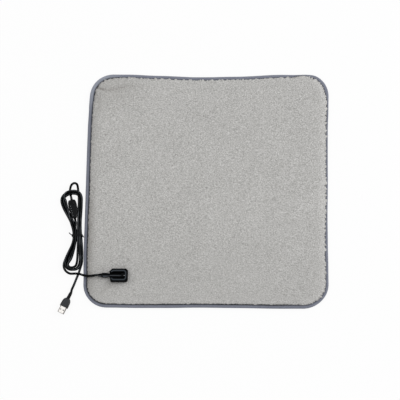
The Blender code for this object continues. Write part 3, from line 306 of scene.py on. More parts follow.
LEAD = (
    (21.8, 58.1, 14.7), (15.0, 57.8, 12.9), (8.5, 58.4, 10.7), (2.4, 60.0, 8.9),
    (-3.6, 62.1, 7.7), (-9.4, 63.6, 6.0), (-14.6, 64.2, 3.9),
)
TOP_LOOP = (
    (-27.0, 215.7, 8.2), (-27.4, 218.5, 9.9), (-27.6, 221.8, 10.5), (-27.3, 226.8, 8.7),
    (-26.7, 231.2, 6.0), (-24.6, 235.3, 4.5), (-20.6, 237.3, 4.1), (-16.5, 235.6, 4.5),
    (-14.4, 231.4, 6.2), (-13.4, 226.8, 8.6), (-12.6, 222.4, 10.3), (-12.0, 218.0, 10.5),
    (-11.3, 212.8, 8.8), (-11.1, 206.6, 7.2), (-10.9, 199.6, 6.3),
)
LEAVING = ((-15.5, 150.4, 7.0), (-15.6, 155.6, 6.2))
TAIL = (
    (-3.9, 77.6, 1.8), (-7.2, 65.6, 1.8), (-11.4, 54.0, 1.9), (-15.4, 42.6, 2.4),
    (-18.9, 33.0, 3.4),
)


def placed(route):
    """Route points, kept in millimetres from the pad's near left corner, in metres."""
    return np.array(route) * MM + (LEFT, NEAR, 0)


def node_points(name):
    """A CAD node's points at rest, as an array."""
    return np.array([v.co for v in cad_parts[name].data.vertices], float)


def cord_lines():
    """Both sides of the cord, end to end, as evenly spaced points, and where each starts."""
    level = box_middle("plug_barrel")[0][2]
    plug_end = np.array([node_points("plug_body")[:, 0].min(), NEAR + SOCKET_UP, level])
    ends = (plug_end, np.array([-1, 0, 0])), relief_end(-1), relief_end(1), usb_back()
    plug, lower, upper, usb = (
        [end + way * END_GAP, end + way * (END_GAP + CORD)] for end, way in ends
    )
    pad_side, plug_side = (spline(np.vstack(runs), LINE_STEP) for runs in (
        (plug, placed(LEAD), pad_side_loops(), placed(LEAVING), lower[::-1]),
        (upper, placed(TOP_LOOP), plug_side_loops(), placed(TAIL), usb[::-1]),
    ))
    return pad_side, plug_side, plug_end, ends[2][0]


def relief_end(side):
    """Where a controller relief ends and the direction it points; side is -1 or 1."""
    along = side * (CONTROLLER_HALF + PARTING + RELIEF)
    c, s = math.cos(CONTROLLER_TILT), math.sin(CONTROLLER_TILT)
    place = np.array(CONTROLLER) + (-along * s, along * c, RELIEF_RISE[side])
    return place, unit(np.array([-s * side, c * side, 2 * RELIEF_RISE[side] / RELIEF]))


def usb_back():
    """Where the USB plug's neck ends, and the direction away from its tip."""
    way = -np.array([math.cos(USB_HEADING), math.sin(USB_HEADING), 0])
    return np.array(USB_TIP) + way * (USB_SHELL + USB_BODY + USB_NECK), way


def cord_piece(name, line):
    """The cord's tube, with a faint ripple of the jacket along its way."""
    line = line + (0, 0, (JACKET - CORD) / 2)
    run = running_sum(step_lengths(line))
    radius = JACKET / 2 * (1 + 0.012 * np.sin(run / 0.0031) * np.sin(run / 0.017))
    return tube_piece(name, line, radius)


def tube_piece(name, line, radius, sides=14):
    """A round tube: each ring is the line's point plus the radius times a turn from the
    level normal to the upward one."""
    ahead = unit(np.gradient(line, axis=0))
    level = unit(np.cross(ahead, (0, 0, 1)))
    rise = np.cross(level, ahead)
    run = running_sum(step_lengths(line))
    turn = np.linspace(0, math.tau, sides + 1)
    points = line[:, None] + radius[:, None, None] * (
        np.cos(turn)[:, None] * level[:, None] + np.sin(turn)[:, None] * rise[:, None]
    )
    uv = np.stack(np.broadcast_arrays(turn[None] / math.tau, run[:, None] / UV_LENGTH), -1)
    tube = new_mesh(name, points, grid_faces(len(line), sides + 1)[:, ::-1], uv=uv)
    close_ends(tube, sides)
    return tube


def close_ends(tube, sides):
    """Joins the tube's seam and closes its two ends with a fan."""
    work = bmesh.new()
    work.from_mesh(tube.data)
    bmesh.ops.remove_doubles(work, verts=work.verts, dist=1e-6)
    bmesh.ops.holes_fill(work, edges=[e for e in work.edges if e.is_boundary], sides=sides + 2)
    bmesh.ops.recalc_face_normals(work, faces=work.faces)
    work.to_mesh(tube.data)
    work.free()


def make_neck():
    """A sleeve over the USB plug's neck: a round tube that narrows from the moulding to the
    cord, with shallow ribs across it where a sine of its run is high."""
    end, way = usb_back()
    share = np.linspace(0, 1, 61)
    line = end + way * (share[:, None] * SLEEVE_LENGTH - SLEEVE_OVER)
    ribs = np.where(np.sin(share * math.tau * 5) > 0.2, RIB_DEPTH, 0.0)
    radius = np.interp(share, (0, 0.75, 1), (0.0034, 0.0030, 0.0025)) - ribs
    sleeve = tube_piece("usb_neck_sleeve", line, radius, 28)
    sleeve.data.materials.append(soft_black())
    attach(sleeve, "cord_set")
    return sleeve


def make_cords():
    """The two sides of the cord, each built as its own tube."""
    pad_line, plug_line, plug_end, controller_end = cord_lines()
    neck = make_neck()
    for name, line, nodes, end, exit_place, others, sleeves in (
        ("cord_pad_side", pad_line, ("cord_lead", "hank_pad_side"), "fitting", plug_end,
         ("plug_body", "plug_barrel", "relief_pad_side", "controller_base", "controller_cover",
          "control_board", "control_button", "light_strip"), []),
        ("cord_plug_side", plug_line, ("hank_plug_side", "cord_tail"), "plug", controller_end,
         ("relief_plug_side", "twist_tie", "usb_overmold", "usb_shell", "usb_tongue"), [neck]),
    ):
        piece = cord_piece(name, line)
        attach(piece, "cord_set")
        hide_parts(*nodes)
        piece.data.materials.append(cord_jacket())


# Shader nodes


class Tree:
    """A node tree with short ways to add and join nodes."""

    def __init__(self, tree):
        self.tree = tree
        tree.nodes.clear()

    def put(self, socket, value):
        """Joins another node's output to a socket, or sets the socket to a value."""
        if isinstance(value, bpy.types.NodeSocket):
            self.tree.links.new(value, socket)
        else:
            socket.default_value = value

    def add(self, kind, inputs=None, **settings):
        made = self.tree.nodes.new("ShaderNode" + kind)
        for key, value in settings.items():
            setattr(made, key, value)
        for key, value in (inputs or {}).items():
            self.put(made.inputs[key], value)
        return made

    def maths(self, operation, first, second=0.0, third=0.0, clamp=False):
        made = self.add("Math", {0: first, 1: second, 2: third}, operation=operation)
        made.use_clamp = clamp
        return made.outputs[0]

    def times(self, first, second, clamp=False):
        return self.maths("MULTIPLY", first, second, clamp=clamp)

    def mixed(self, first, first_share, second, second_share, clamp=False):
        """The sum of two values, each times its share."""
        return self.maths("ADD", self.times(first, first_share),
                          self.times(second, second_share), clamp=clamp)

    def blend(self, share, first, second):
        return self.add("Mix", {0: share, 6: first, 7: second}, data_type="RGBA").outputs[2]

    def span(self, value, low, high, to_low=0.0, to_high=1.0):
        ends = {"From Min": low, "From Max": high, "To Min": to_low, "To Max": to_high}
        return self.add("MapRange", {"Value": value, **ends}).outputs[0]

    def noise(self, where, scale, detail, **inputs):
        inputs = {"Vector": where, "Scale": scale, "Detail": detail, **inputs}
        return self.add("TexNoise", inputs).outputs[0]

    def ribs(self, where, scale, way, distortion, detail, detail_scale):
        """Straight soft waves across one way."""
        inputs = {"Vector": where, "Scale": scale, "Distortion": distortion, "Detail": detail,
                  "Detail Scale": detail_scale}
        return self.add("TexWave", inputs, wave_type="BANDS", bands_direction=way,
                        wave_profile="SIN").outputs[1]

    def stretched(self, where, scale, turn=0.0):
        inputs = {"Vector": where, "Rotation": (0, 0, turn), "Scale": scale}
        return self.add("Mapping", inputs).outputs[0]

    def dot(self, vector, way):
        return self.add("VectorMath", {0: vector, 1: way}, operation="DOT_PRODUCT").outputs["Value"]

    def part(self, vector, letter):
        return self.add("SeparateXYZ", {"Vector": vector}).outputs[letter]

    def facing(self):
        """The way that the surface faces."""
        return self.add("NewGeometry").outputs["Normal"]

    def kept(self, name):
        """A number that the mesh keeps for each of its points."""
        return self.add("Attribute", attribute_name=name).outputs["Fac"]

    def bump(self, height, strength, depth, **before):
        inputs = {"Height": height, "Strength": strength, "Distance": depth, **before}
        return self.add("Bump", inputs).outputs[0]

    def seen(self):
        """1 for rays from the camera and for reflected and refracted ones."""
        rays = self.add("LightPath").outputs
        return self.maths("MAXIMUM", rays["Is Camera Ray"],
                          self.maths("MAXIMUM", rays["Is Glossy Ray"], rays["Is Transmission Ray"]))


def rgb(red, green, blue):
    """A colour given in the eye's steps from 0 to 255, as the shader's own numbers."""
    straight = [v / 255 for v in (red, green, blue)]
    return [v / 12.92 if v <= 0.04045 else ((v + 0.055) / 1.055) ** 2.4 for v in straight] + [1]


def group(name, **values):
    """A shader node group that takes a place and some values and puts out a mask and a
    height; the values given are the ones that it starts with."""
    made = bpy.data.node_groups.new(name, "ShaderNodeTree")
    tree = Tree(made)
    made.interface.new_socket("Place", in_out="INPUT", socket_type="NodeSocketVector")
    for key, value in values.items():
        socket = made.interface.new_socket(key, in_out="INPUT", socket_type="NodeSocketFloat")
        socket.default_value = value
    for key in ("Mask", "Height"):
        made.interface.new_socket(key, in_out="OUTPUT", socket_type="NodeSocketFloat")
    tree.start = made.nodes.new("NodeGroupInput").outputs
    tree.end = made.nodes.new("NodeGroupOutput").inputs
    return tree


def group_done(tree, mask, height):
    tree.put(tree.end["Mask"], mask)
    tree.put(tree.end["Height"], height)
    return tree.tree


@cache
def grain_group():
    """Speckle and slow mottling: fine noise for height, slow noise for a colour mask."""
    tree = group("fine_grain", Grains=900.0, Mottling=40.0, Contrast=0.5)
    fine = tree.noise(tree.start["Place"], tree.start["Grains"], 4.0)
    slow = tree.noise(tree.start["Place"], tree.start["Mottling"], 3.0)
    off = tree.maths("SUBTRACT", tree.mixed(fine, 0.5, slow, 0.5), 0.5)
    return group_done(tree, tree.maths("MULTIPLY_ADD", off, tree.start["Contrast"], 0.5), fine)


@cache
def weave_group():
    """A plain weave: two crossed waves, each raised where the other dips."""
    tree = group("plain_weave", Threads=1.0)
    warp, weft = (
        tree.ribs(tree.start["Place"], tree.start["Threads"], way, 0.6, 1.0, 2.0) for way in "XY"
    )
    both = tree.times(warp, weft)
    return group_done(tree, both, tree.maths("ADD", both, tree.times(warp, 0.35)))


class Finish(Tree):
    """A new material's tree, with a Principled shader joined to its output."""

    def __init__(self, name):
        self.material = bpy.data.materials.new(name)
        self.material.use_nodes = True
        super().__init__(self.material.node_tree)
        self.shader = self.add("BsdfPrincipled")
        self.add("OutputMaterial", {"Surface": self.shader.outputs[0]})
        place = self.add("TexCoord").outputs
        self.where, self.uv = place["Object"], place["UV"]

    def use(self, made_group, **inputs):
        return self.add("Group", inputs, node_tree=made_group).outputs

    def grain(self, grains, mottling, contrast=0.5, where=None):
        """The grain group's mask and height, on the piece itself if no place is given."""
        return self.use(grain_group(), Place=where or self.where, Grains=grains,
                        Mottling=mottling, Contrast=contrast)

    def done(self, shade, rough, normal, **inputs):
        """Joins the shader's inputs; an underscore in a name stands for a space."""
        inputs.update(Base_Color=shade, Roughness=rough, Normal=normal)
        for key, value in inputs.items():
            self.put(self.shader.inputs[key.replace("_", " ")], value)
        return self.material


# SHADOW is the colour of painted shade, and TOWARD_LIGHT the way a surface faces where it gets a
# painted highlight
SHADOW = rgb(1, 1, 2)
TOWARD_LIGHT = (0.0, -0.42, 0.91)


def moulded(name, colour, rough, grains=1400.0, depth=0.00003, lift=0.15, shine=0.2,
            edge_shade_node=None, painted_highlight=None, ring=None):
    """Moulded plastic: a fine spark texture, a little uneven gloss, a faint pale bloom and painted
    shade on upright faces. A painted highlight is a paler tone where a round piece faces up and
    near, the ring a painted highlight line along a plate; a plug's outline may take painted shade."""
    tree = Finish(name)
    mask, height = tree.grain(grains, 70.0, 1.6)
    paler = [min(1.0, v * 2.2 + 0.004) for v in colour[:3]] + [1]
    shade = tree.blend(tree.times(mask, lift, clamp=True), colour, paler)
    facing = tree.facing()
    # Painted shade: faces that stand upright are darkened towards SHADOW
    shade = tree.blend(tree.span(tree.part(facing, "Z"), 0.2, 0.8, 1.0, 0.0), shade, SHADOW)
    # Painted shade: the named plug's outline, seen from above, is darkened towards SHADOW
    if edge_shade_node:
        shade = tree.blend(plug_edge(tree, edge_shade_node, 0.0036, 1.0), shade, SHADOW)
    # Painted highlight: a paler tone where the surface faces TOWARD_LIGHT
    if painted_highlight:
        shade = tree.blend(tree.span(tree.dot(facing, TOWARD_LIGHT), 0.965, 0.998), shade, painted_highlight)
    # Painted highlight: a paler line along the top of the socket plate
    if ring:
        shade = tree.blend(plate_ring_highlight(tree), shade, ring)
    rough = tree.span(mask, 0.2, 0.8, rough - 0.06, rough + 0.08)
    return tree.done(shade, rough, tree.bump(height, 0.5, depth), Specular_IOR_Level=shine)


@cache
def soft_black():
    # The last colour is a painted highlight along the top of round pieces
    return moulded("soft_black_moulding", rgb(3, 4, 5), 0.32, 900.0, 0.00004, shine=0.1,
                   painted_highlight=rgb(34, 37, 40))


@cache
def cord_jacket():
    """The cord's smooth black jacket, with faint lines drawn along it and a painted highlight in
    patches along its top.
    """
    tree = Finish("black_cord_jacket")
    mask, height = tree.grain(1.0, 0.35, 1.4, tree.stretched(tree.uv, (26.0, 0.5, 1.0)))
    shade = tree.blend(tree.times(mask, 0.5), rgb(1, 2, 3), rgb(8, 9, 10))
    level = tree.part(tree.facing(), "Z")
    # Painted highlight: a paler line where the jacket faces straight up, broken into patches by
    # slow noise
    runs = tree.noise(tree.where, 48.0, 1.0)
    painted_highlight = tree.times(tree.span(level, 0.95, 0.998), tree.span(runs, 0.44, 0.58, 0.25))
    shade = tree.blend(painted_highlight, shade, rgb(88, 92, 96))
    rough = tree.span(mask, 0.2, 0.8, 0.1, 0.22)
    return tree.done(shade, rough, tree.bump(height, 0.25, 0.00004), Specular_IOR_Level=0.03)


RING_INSET, RING_CORNER, RING_LEVEL = 0.0038, 0.0036, 0.0008


def plate_ring_highlight(tree):
    """A painted highlight line: a soft line on the socket plate's top, a little in from its rim,
    that cuts the corners: the least of the ways in from the sides and the corners' slants,
    through a narrow hump."""
    middle, half = box_middle("socket_housing")
    split = tree.add("SeparateXYZ", {"Vector": tree.where}).outputs
    ways = []
    for axis in (0, 1):
        out = tree.maths("ABSOLUTE", tree.maths("SUBTRACT", split[axis], float(middle[axis])))
        ways.append(tree.maths("SUBTRACT", float(half[axis]), out))
    slant = tree.times(tree.maths("ADD", *ways), math.sqrt(0.5))
    slant = tree.maths("SUBTRACT", slant, RING_CORNER)
    least = tree.maths("MINIMUM", tree.maths("MINIMUM", *ways), slant)
    line = tree.span(tree.maths("ABSOLUTE", tree.maths("SUBTRACT", least, RING_INSET)),
                     0.0004, 0.0015, 1.0, 0.0)
    top = float(middle[2] + half[2]) - RING_LEVEL
    return tree.times(line, tree.span(split["Z"], top - 0.0004, top))


def plug_edge(tree, name, wide, most):
    """How near a point of the USB plug is to the piece's edge, seen from above: the distance
    from its middle line, or past the arch's centre from that centre, against its half width."""
    end, way = usb_back()
    side = np.array([-way[1], way[0], 0])
    reach = node_points(name) @ side
    middle, half = (reach.max() + reach.min()) / 2, (reach.max() - reach.min()) / 2
    body = end @ way - USB_NECK
    across = tree.maths("SUBTRACT", tree.dot(tree.where, side.tolist()), middle)
    past = tree.maths("SUBTRACT", tree.dot(tree.where, way.tolist()), body - half)
    past = tree.maths("MAXIMUM", past, 0.0)
    squares = tree.mixed(across, across, past, past)
    return tree.span(tree.maths("SQRT", squares), half - wide, half - wide * 0.45, 0.0, most)


def metal(name, colour, rough, scratches, sides=None):
    """Plated metal with fine scratches along one way and slow clouding; upright sides, and the
    USB shell's outline seen from above, may take painted shade in a darker tone."""
    tree = Finish(name)
    place = tree.stretched(tree.where, (1.0, 0.06, 1.0), math.radians(25))
    mask, height = tree.grain(scratches, 120.0, 1.2, place)
    shade = tree.blend(mask, colour, [v * 0.86 for v in colour[:3]] + [1])
    # Painted shade: upright faces and the USB shell's outline are darkened towards the sides colour
    if sides:
        level = tree.maths("ABSOLUTE", tree.part(tree.facing(), "Z"))
        shade = tree.blend(tree.span(level, 0.35, 0.85, 1.0, 0.0), shade, sides)
        shade = tree.blend(plug_edge(tree, "usb_shell", 0.0018, 0.9), shade, sides)
    rough = tree.span(mask, 0.2, 0.8, rough - 0.08, rough + 0.12)
    return tree.done(shade, rough, tree.bump(height, 0.3, 0.00001), Metallic=1.0)


def speckled(name, dark, light, rough, grains, strength, depth, coat=0.0):
    """A plain finish whose colour goes from dark to light with the grain's mask."""
    tree = Finish(name)
    mask, height = tree.grain(*grains)
    return tree.done(tree.blend(mask, dark, light), rough, tree.bump(height, strength, depth),
                     Coat_Weight=coat)


@cache
def plush_pile():
    """Short dense pile: tufts light at their tips with painted shade between them, and a soft nap
    that lies a little differently from place to place. Towards the near side the pile is darker
    with less contrast; the mesh gives painted shade and painted light."""
    tree = Finish("grey_plush_pile")
    leaned = tree.stretched(tree.where, (0.8, 1.3, 1.0))
    tufts = tree.noise(leaned, 560.0, 3.0, Roughness=0.5, Distortion=0.3)
    fibres = tree.noise(leaned, 1500.0, 3.0, Roughness=0.7)
    nap = tree.noise(tree.where, 16.0, 3.0, Roughness=0.5)
    height = tree.maths("ADD", tufts, tree.times(fibres, 0.35))
    # Towards the near side the pile is darker and has less contrast
    toward_near_side = tree.span(tree.part(tree.where, "Y"), -0.16, -0.06, 1.0, 0.0)
    share = tree.mixed(tree.span(height, 0.48, 0.88), tree.span(toward_near_side, 0.0, 1.0, 1.0, 0.76),
                       toward_near_side, 0.07)
    nap = tree.times(tree.maths("SUBTRACT", nap, 0.5), 0.15)
    share = tree.maths("ADD", share, nap, clamp=True)
    # Painted shade: low places between the tufts are darker, their tips paler
    shade = tree.blend(share, rgb(145, 144, 141), rgb(212, 211, 209))
    specks = tree.noise(tree.where, 210.0, 2.0, Distortion=1.2)
    shade = tree.blend(tree.span(specks, 0.66, 0.74, 0.0, 0.6), shade, rgb(122, 120, 117))
    # Painted shade in the creases, along the left rim and at both left corners
    shade = tree.blend(tree.kept("painted_shade"), shade, rgb(112, 107, 101))
    # Painted light: paler pile along the right and near edges
    shade = tree.blend(tree.times(tree.kept("painted_light"), 0.12), shade, rgb(232, 231, 229))
    return tree.done(shade, 0.95, tree.bump(height, 0.55, 0.0012), Sheen_Weight=0.12,
                     Sheen_Roughness=0.6, Specular_IOR_Level=0.15)


def woven_tape():
    """Slate blue tape: close ribs across it, a few lighter yarns, painted light at the far left
    corner and painted shade where the pile's edge lies over it.
    """
    tree = Finish("slate_woven_tape")
    rib = tree.ribs(tree.uv, 3.2, "X", 1.2, 2.0, 1.5)
    mask, height = tree.grain(1100.0, 60.0, 1.4)
    share = tree.mixed(rib, 0.35, mask, 0.65, clamp=True)
    shade = tree.blend(share, rgb(92, 95, 108), rgb(134, 138, 152))
    # Painted light: the tape is paler at the far left corner
    shade = tree.blend(tree.kept("painted_corner_light"), shade, rgb(178, 184, 194))
    shade = tree.blend(tree.kept("shaded"), shade, rgb(20, 21, 27))
    normal = tree.bump(height, 0.4, 0.0001, Normal=tree.bump(rib, 0.35, 0.0002))
    return tree.done(shade, 0.8, normal, Sheen_Weight=0.15)


def underside_weave():
    """A dark plain weave, seen when the pad is turned over."""
    tree = Finish("dark_underside_cloth")
    crossed, height = tree.use(weave_group(), Place=tree.where, Threads=260.0)
    mask, _ = tree.grain(600.0, 14.0, 1.2)
    share = tree.mixed(crossed, 0.5, mask, 0.5, clamp=True)
    shade = tree.blend(share, rgb(66, 69, 82), rgb(104, 108, 122))
    return tree.done(shade, 0.88, tree.bump(height, 0.5, 0.0003))


# The pad's outline


def outward(place):
    """0 up to 150 mm from the pad's middle, and 1 from 210 mm on."""
    return ramp(place, 0.15, 0.21)


def ring_hit(dx, dy, inset):
    """Where a ray from the middle, in the direction (dx, dy), leaves the rounded square
    that lies that far inside the pad's edge; then the sides are drawn in between corners."""
    half_x, half_y = PAD_WIDTH / 2 - inset, PAD_DEPTH / 2 - inset
    radius = np.clip(CORNER - inset, CORNER / 8, np.minimum(half_x, half_y))
    ax, ay = np.abs(dx) + 1e-12, np.abs(dy) + 1e-12
    straight = np.minimum(half_x / ax, half_y / ay)
    cx, cy = half_x - radius, half_y - radius
    dot, size = ax * cx + ay * cy, ax * ax + ay * ay
    root = np.sqrt(np.maximum(dot * dot - size * (cx * cx + cy * cy - radius * radius), 0))
    round_hit = (dot + root) / size
    in_corner = (straight * ax > cx) & (straight * ay > cy)
    far = np.where(in_corner, round_hit, straight)
    return drawn_in(dx * far, dy * far, half_x, half_y)


# How far the lying pad's edge strays from the solids' outline, in millimetres at places
# along each side: the far and near sides by x, the left and right sides by y
STRAY_FAR = ((-230, 0.3), (-185, 0.6), (-146, 1.4), (-90, 0.3), (-20, -1.7), (55, -0.8),
             (130, 1.6), (165, 0.4), (182, 0.5), (205, 2.6))
STRAY_NEAR = ((-185, 0.0), (-120, -0.7), (-70, -0.6), (-10, 0.3), (60, 0.0), (130, -0.5),
              (180, 0.0), (230, 0.3))
STRAY_LEFT = ((-230, 0.0), (-205, 1.2), (-178, 1.9), (-145, 0.8), (-122, 0.1), (60, -0.3),
              (115, 0.0), (157, 1.1), (188, 2.2), (230, 1.4))
STRAY_RIGHT = ((-230, -0.6), (-192, 0.4), (-150, 0.1), (-100, -0.5), (-50, -0.9), (10, -0.2),
               (70, -0.4), (115, -0.4), (155, 0.6), (188, 0.8))


def stray(places, table):
    """Reads a table of strays with a smooth step from each of its places to the next."""
    at, value = np.array(table, float).T * MM
    i = np.clip(np.searchsorted(at, places) - 1, 0, len(at) - 2)
    share = ramp((places - at[i]) / (at[i + 1] - at[i]), 0, 1)
    return value[i] + share * (value[i + 1] - value[i])


def drawn_in(x, y, half_x, half_y):
    """Pulls points towards the middle, most at the middle of a side, then adds the strays,
    which fade towards the pad's middle."""
    u, v = x / half_x, y / half_y
    draw = np.where(y > 0, FAR_DRAW, SIDE_DRAW)
    px = x - SIDE_DRAW * (1 - v ** 2) * u
    py = y - draw * (1 - u ** 2) * v + SHIFT
    right, left, far, near = (ramp(share, 0.5, 0.97) for share in (u, -u, v, -v))
    px = px + STRAYING * (right * stray(y, STRAY_RIGHT) + left * stray(y, STRAY_LEFT))
    py = py + STRAYING * (far * stray(x, STRAY_FAR) + near * stray(x, STRAY_NEAR))
    return px, py


def outline_shift():
    """Moves the drawn outline so that its own middle is at the origin, as in the solids."""
    global SHIFT, STRAYING
    SHIFT, STRAYING = 0.0, 0.0
    turn = np.linspace(0, math.tau, 2881)
    _, y = ring_hit(np.cos(turn), np.sin(turn), 0.0)
    SHIFT, STRAYING = -(y.min() + y.max()) / 2, 1.0


def around_pad(count):
    """Directions for evenly spaced places round the pad's edge, and the run along it."""
    turn = np.linspace(0, math.tau, 7201)
    x, y = ring_hit(np.cos(turn), np.sin(turn), 0.0)
    run = running_sum(np.hypot(np.diff(x), np.diff(y)))
    places = np.linspace(0, run[-1], count, endpoint=False)
    at = np.interp(places, run, turn)
    return np.cos(at), np.sin(at), places, run[-1]


def square_grid(n, table):
    """A square grid carried onto the pad: m is the larger of |s| and |t|, and the ray through
    (s, t) is followed to the rounded square whose inset a table gives for the run from the
    rim. With the rays, the runs and the insets go the heights from the same table."""
    s, t = np.meshgrid(np.linspace(-1, 1, n), np.linspace(-1, 1, n))
    m = np.maximum(np.maximum(np.abs(s), np.abs(t)), 1e-9)
    runs, insets, heights = table.T
    run = (1 - m) * (PAD_WIDTH / 2 - insets[-1] + runs[-1])
    inset = np.where(run > runs[-1], insets[-1] + run - runs[-1], np.interp(run, runs, insets))
    return s / m, t / m, run, inset, np.interp(run, runs, heights)


def corner_share(dx, dy):
    """1 in the middle of a corner and 0 along the sides."""
    lean = np.minimum(np.abs(dx), np.abs(dy)) / np.maximum(np.abs(dx), np.abs(dy))
    return ramp(lean, 0.72, 0.93)


# The plush
PLUSH_GRID = 310
EDGE_TABLE = np.array([
    # run from the root, inset with no overhang, height
    (0.0, 10.4, 5.3), (1.2, 10.1, 6.4), (2.4, 9.5, 7.0), (3.8, 9.6, 7.9), (5.4, 10.6, 8.9),
    (7.6, 12.6, 9.7), (10.5, 15.4, 10.4), (14.5, 19.4, 10.9), (20.0, 24.9, 11.15),
    (28.0, 32.9, 11.2),
]) * MM
OVERHANG_TABLE = np.array([0, 0.4, 1.0, 1.0, 0.75, 0.4, 0.15, 0.03, 0, 0])


def overhang(x, y):
    """How far the pile leans over the binding: most at the right, least at the left."""
    right = outward(x) * (1 - 0.75 * ramp(y, 0.17, 0.195))
    left = outward(-x)
    near = outward(-y) * (1 - right)
    right = right * (1 - 0.45 * ramp(-y, 0.05, 0.10))
    low_left = left * ramp(-y, 0.0, 0.06) * (1 - ramp(-y, 0.13, 0.18))
    fold = ramp(y, 0.19, 0.21) * bell(x - 0.170, 0.014)
    corner = ramp(x, 0.18, 0.20) * ramp(y, 0.16, 0.19)
    most = 4.0 * right + 1.3 * near + 3.8 * fold
    far_left = ramp(-x, 0.155, 0.19) * ramp(y, 0.15, 0.18)
    least = left * (0.2 + 0.3 * ramp(-y, -0.04, 0.0)) + 1.3 * corner + 1.9 * far_left
    return (1.7 + most - least + 0.6 * low_left) * MM


CREASES = (
    # from (x, y) to (x, y) in metres, then depth and half width in millimetres
    (-0.2115, 0.1985, -0.193, 0.1915, 2.4, 2.6),
    (-0.192, 0.1915, -0.170, 0.1945, 1.3, 2.8),
    (-0.172, 0.1942, -0.146, 0.2010, 0.9, 3.0),
    (-0.150, 0.2005, -0.120, 0.1985, 0.5, 4.0),
    (-0.206, 0.146, -0.203, 0.184, 0.8, 4.5),
    (-0.166, -0.181, -0.193, -0.200, 0.7, 4.0),
    (-0.160, -0.183, -0.168, -0.212, 0.3, 4.5),
    (-0.142, -0.182, -0.128, -0.204, 0.3, 4.5),
    (-0.180, -0.158, -0.205, -0.150, 0.5, 5.0),
)


def creases(x, y):
    """Soft grooves: along the far left corner, and fanning out below the socket. Each is a
    bell across a straight line, fading out at both of its ends."""
    depth = np.zeros_like(x)
    for ax, ay, bx, by, deep, wide in CREASES:
        sx, sy = bx - ax, by - ay
        long = math.hypot(sx, sy)
        along = ((x - ax) * sx + (y - ay) * sy) / long
        across = ((x - ax) * sy - (y - ay) * sx) / long
        fade = ramp(along, -0.006, 0.01) * (1 - ramp(along, long - 0.012, long + 0.008))
        depth += deep * MM * fade * bell(across, wide * MM)
    return depth


def socket_dip(x, y):
    """The plush is pushed down under the socket and rises again in a soft ring round it."""
    middle, half = box_middle("socket_housing")
    out = [np.maximum(np.abs(place - middle[k]) - half[k], 0) for k, place in enumerate((x, y))]
    return 0.5 * MM * bell(np.hypot(*out), 0.0045)


def make_plush():
    """The square grid, whose edge leans out over the binding by the overhang and by uneven
    bunches. The pile's clumps are added along z, and the grooves and the dip taken off it."""
    n = PLUSH_GRID
    dx, dy, run, inset, height = square_grid(n, EDGE_TABLE)
    lean = np.interp(run, EDGE_TABLE[:, 0], OVERHANG_TABLE)
    x, y = ring_hit(dx, dy, inset)
    uneven = smooth_noise(n, 0.0048, 21, band=0.5)
    bunches = np.maximum(smooth_noise(n, 0.0105, 22, band=0.4), -0.5)
    ragged = 1 + 1.5 * np.maximum(outward(x), 0.9 * outward(y))
    inset = inset - lean * (overhang(x, y) + ragged * (0.3 * uneven + 0.45 * bunches) * MM)
    x, y = ring_hit(dx, dy, inset)
    clumps = smooth_noise(n, 0.0044, 3, stretch=1.25)
    tufts = smooth_noise(n, 0.0031, 4, band=0.25)
    swell = smooth_noise(n, 0.060, 5, band=0.6)
    broad = ramp(run, 0.001, 0.012)
    z = height + broad * (0.05 * clumps + 0.13 * tufts + 0.12 * swell) * MM
    z += (1 - broad) * 0.22 * uneven * MM * ramp(run, 0.0, 0.003)
    grooves = creases(x, y)
    z -= ramp(run, 0.004, 0.02) * grooves + socket_dip(x, y)
    plush = new_mesh("plush_pile", np.stack([x, y, z], -1), grid_faces(n, n))
    # Painted shade: the creases, a band along the left rim that is stronger on the near half, and
    # both left corners are darkened
    rim = bell(x - LEFT - 0.010, 0.009) * (0.17 + 0.26 * ramp(-y, 0, 0.04))
    corner = bell(np.hypot(x - LEFT - 0.03, y - NEAR - 0.03), 0.03) * 0.07
    far_corner = bell(np.hypot(x - LEFT - 0.05, y + NEAR + 0.03), 0.035) * 0.16
    keep_number(plush, "painted_shade", np.clip(grooves / MM * 0.2 + rim + corner + far_corner, 0, 0.6))
    # Painted light along the right and near edges of the pile
    sides = np.maximum(ramp(x, 0.16, 0.205), 0.8 * ramp(-y, 0.16, 0.205))
    painted_light = sides * (1 - ramp(run, 0.004, 0.016)) * ramp(run, 0.0, 0.002)
    keep_number(plush, "painted_light", painted_light)
    plush.data.materials.append(plush_pile())
    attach(plush, "pad")
    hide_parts("plush_top")


def keep_number(thing, name, values):
    """Keeps one number for each point of a mesh under a name."""
    layer = thing.data.attributes.new(name, "FLOAT", "POINT")
    layer.data.foreach_set("value", np.asarray(values, np.float32).ravel())


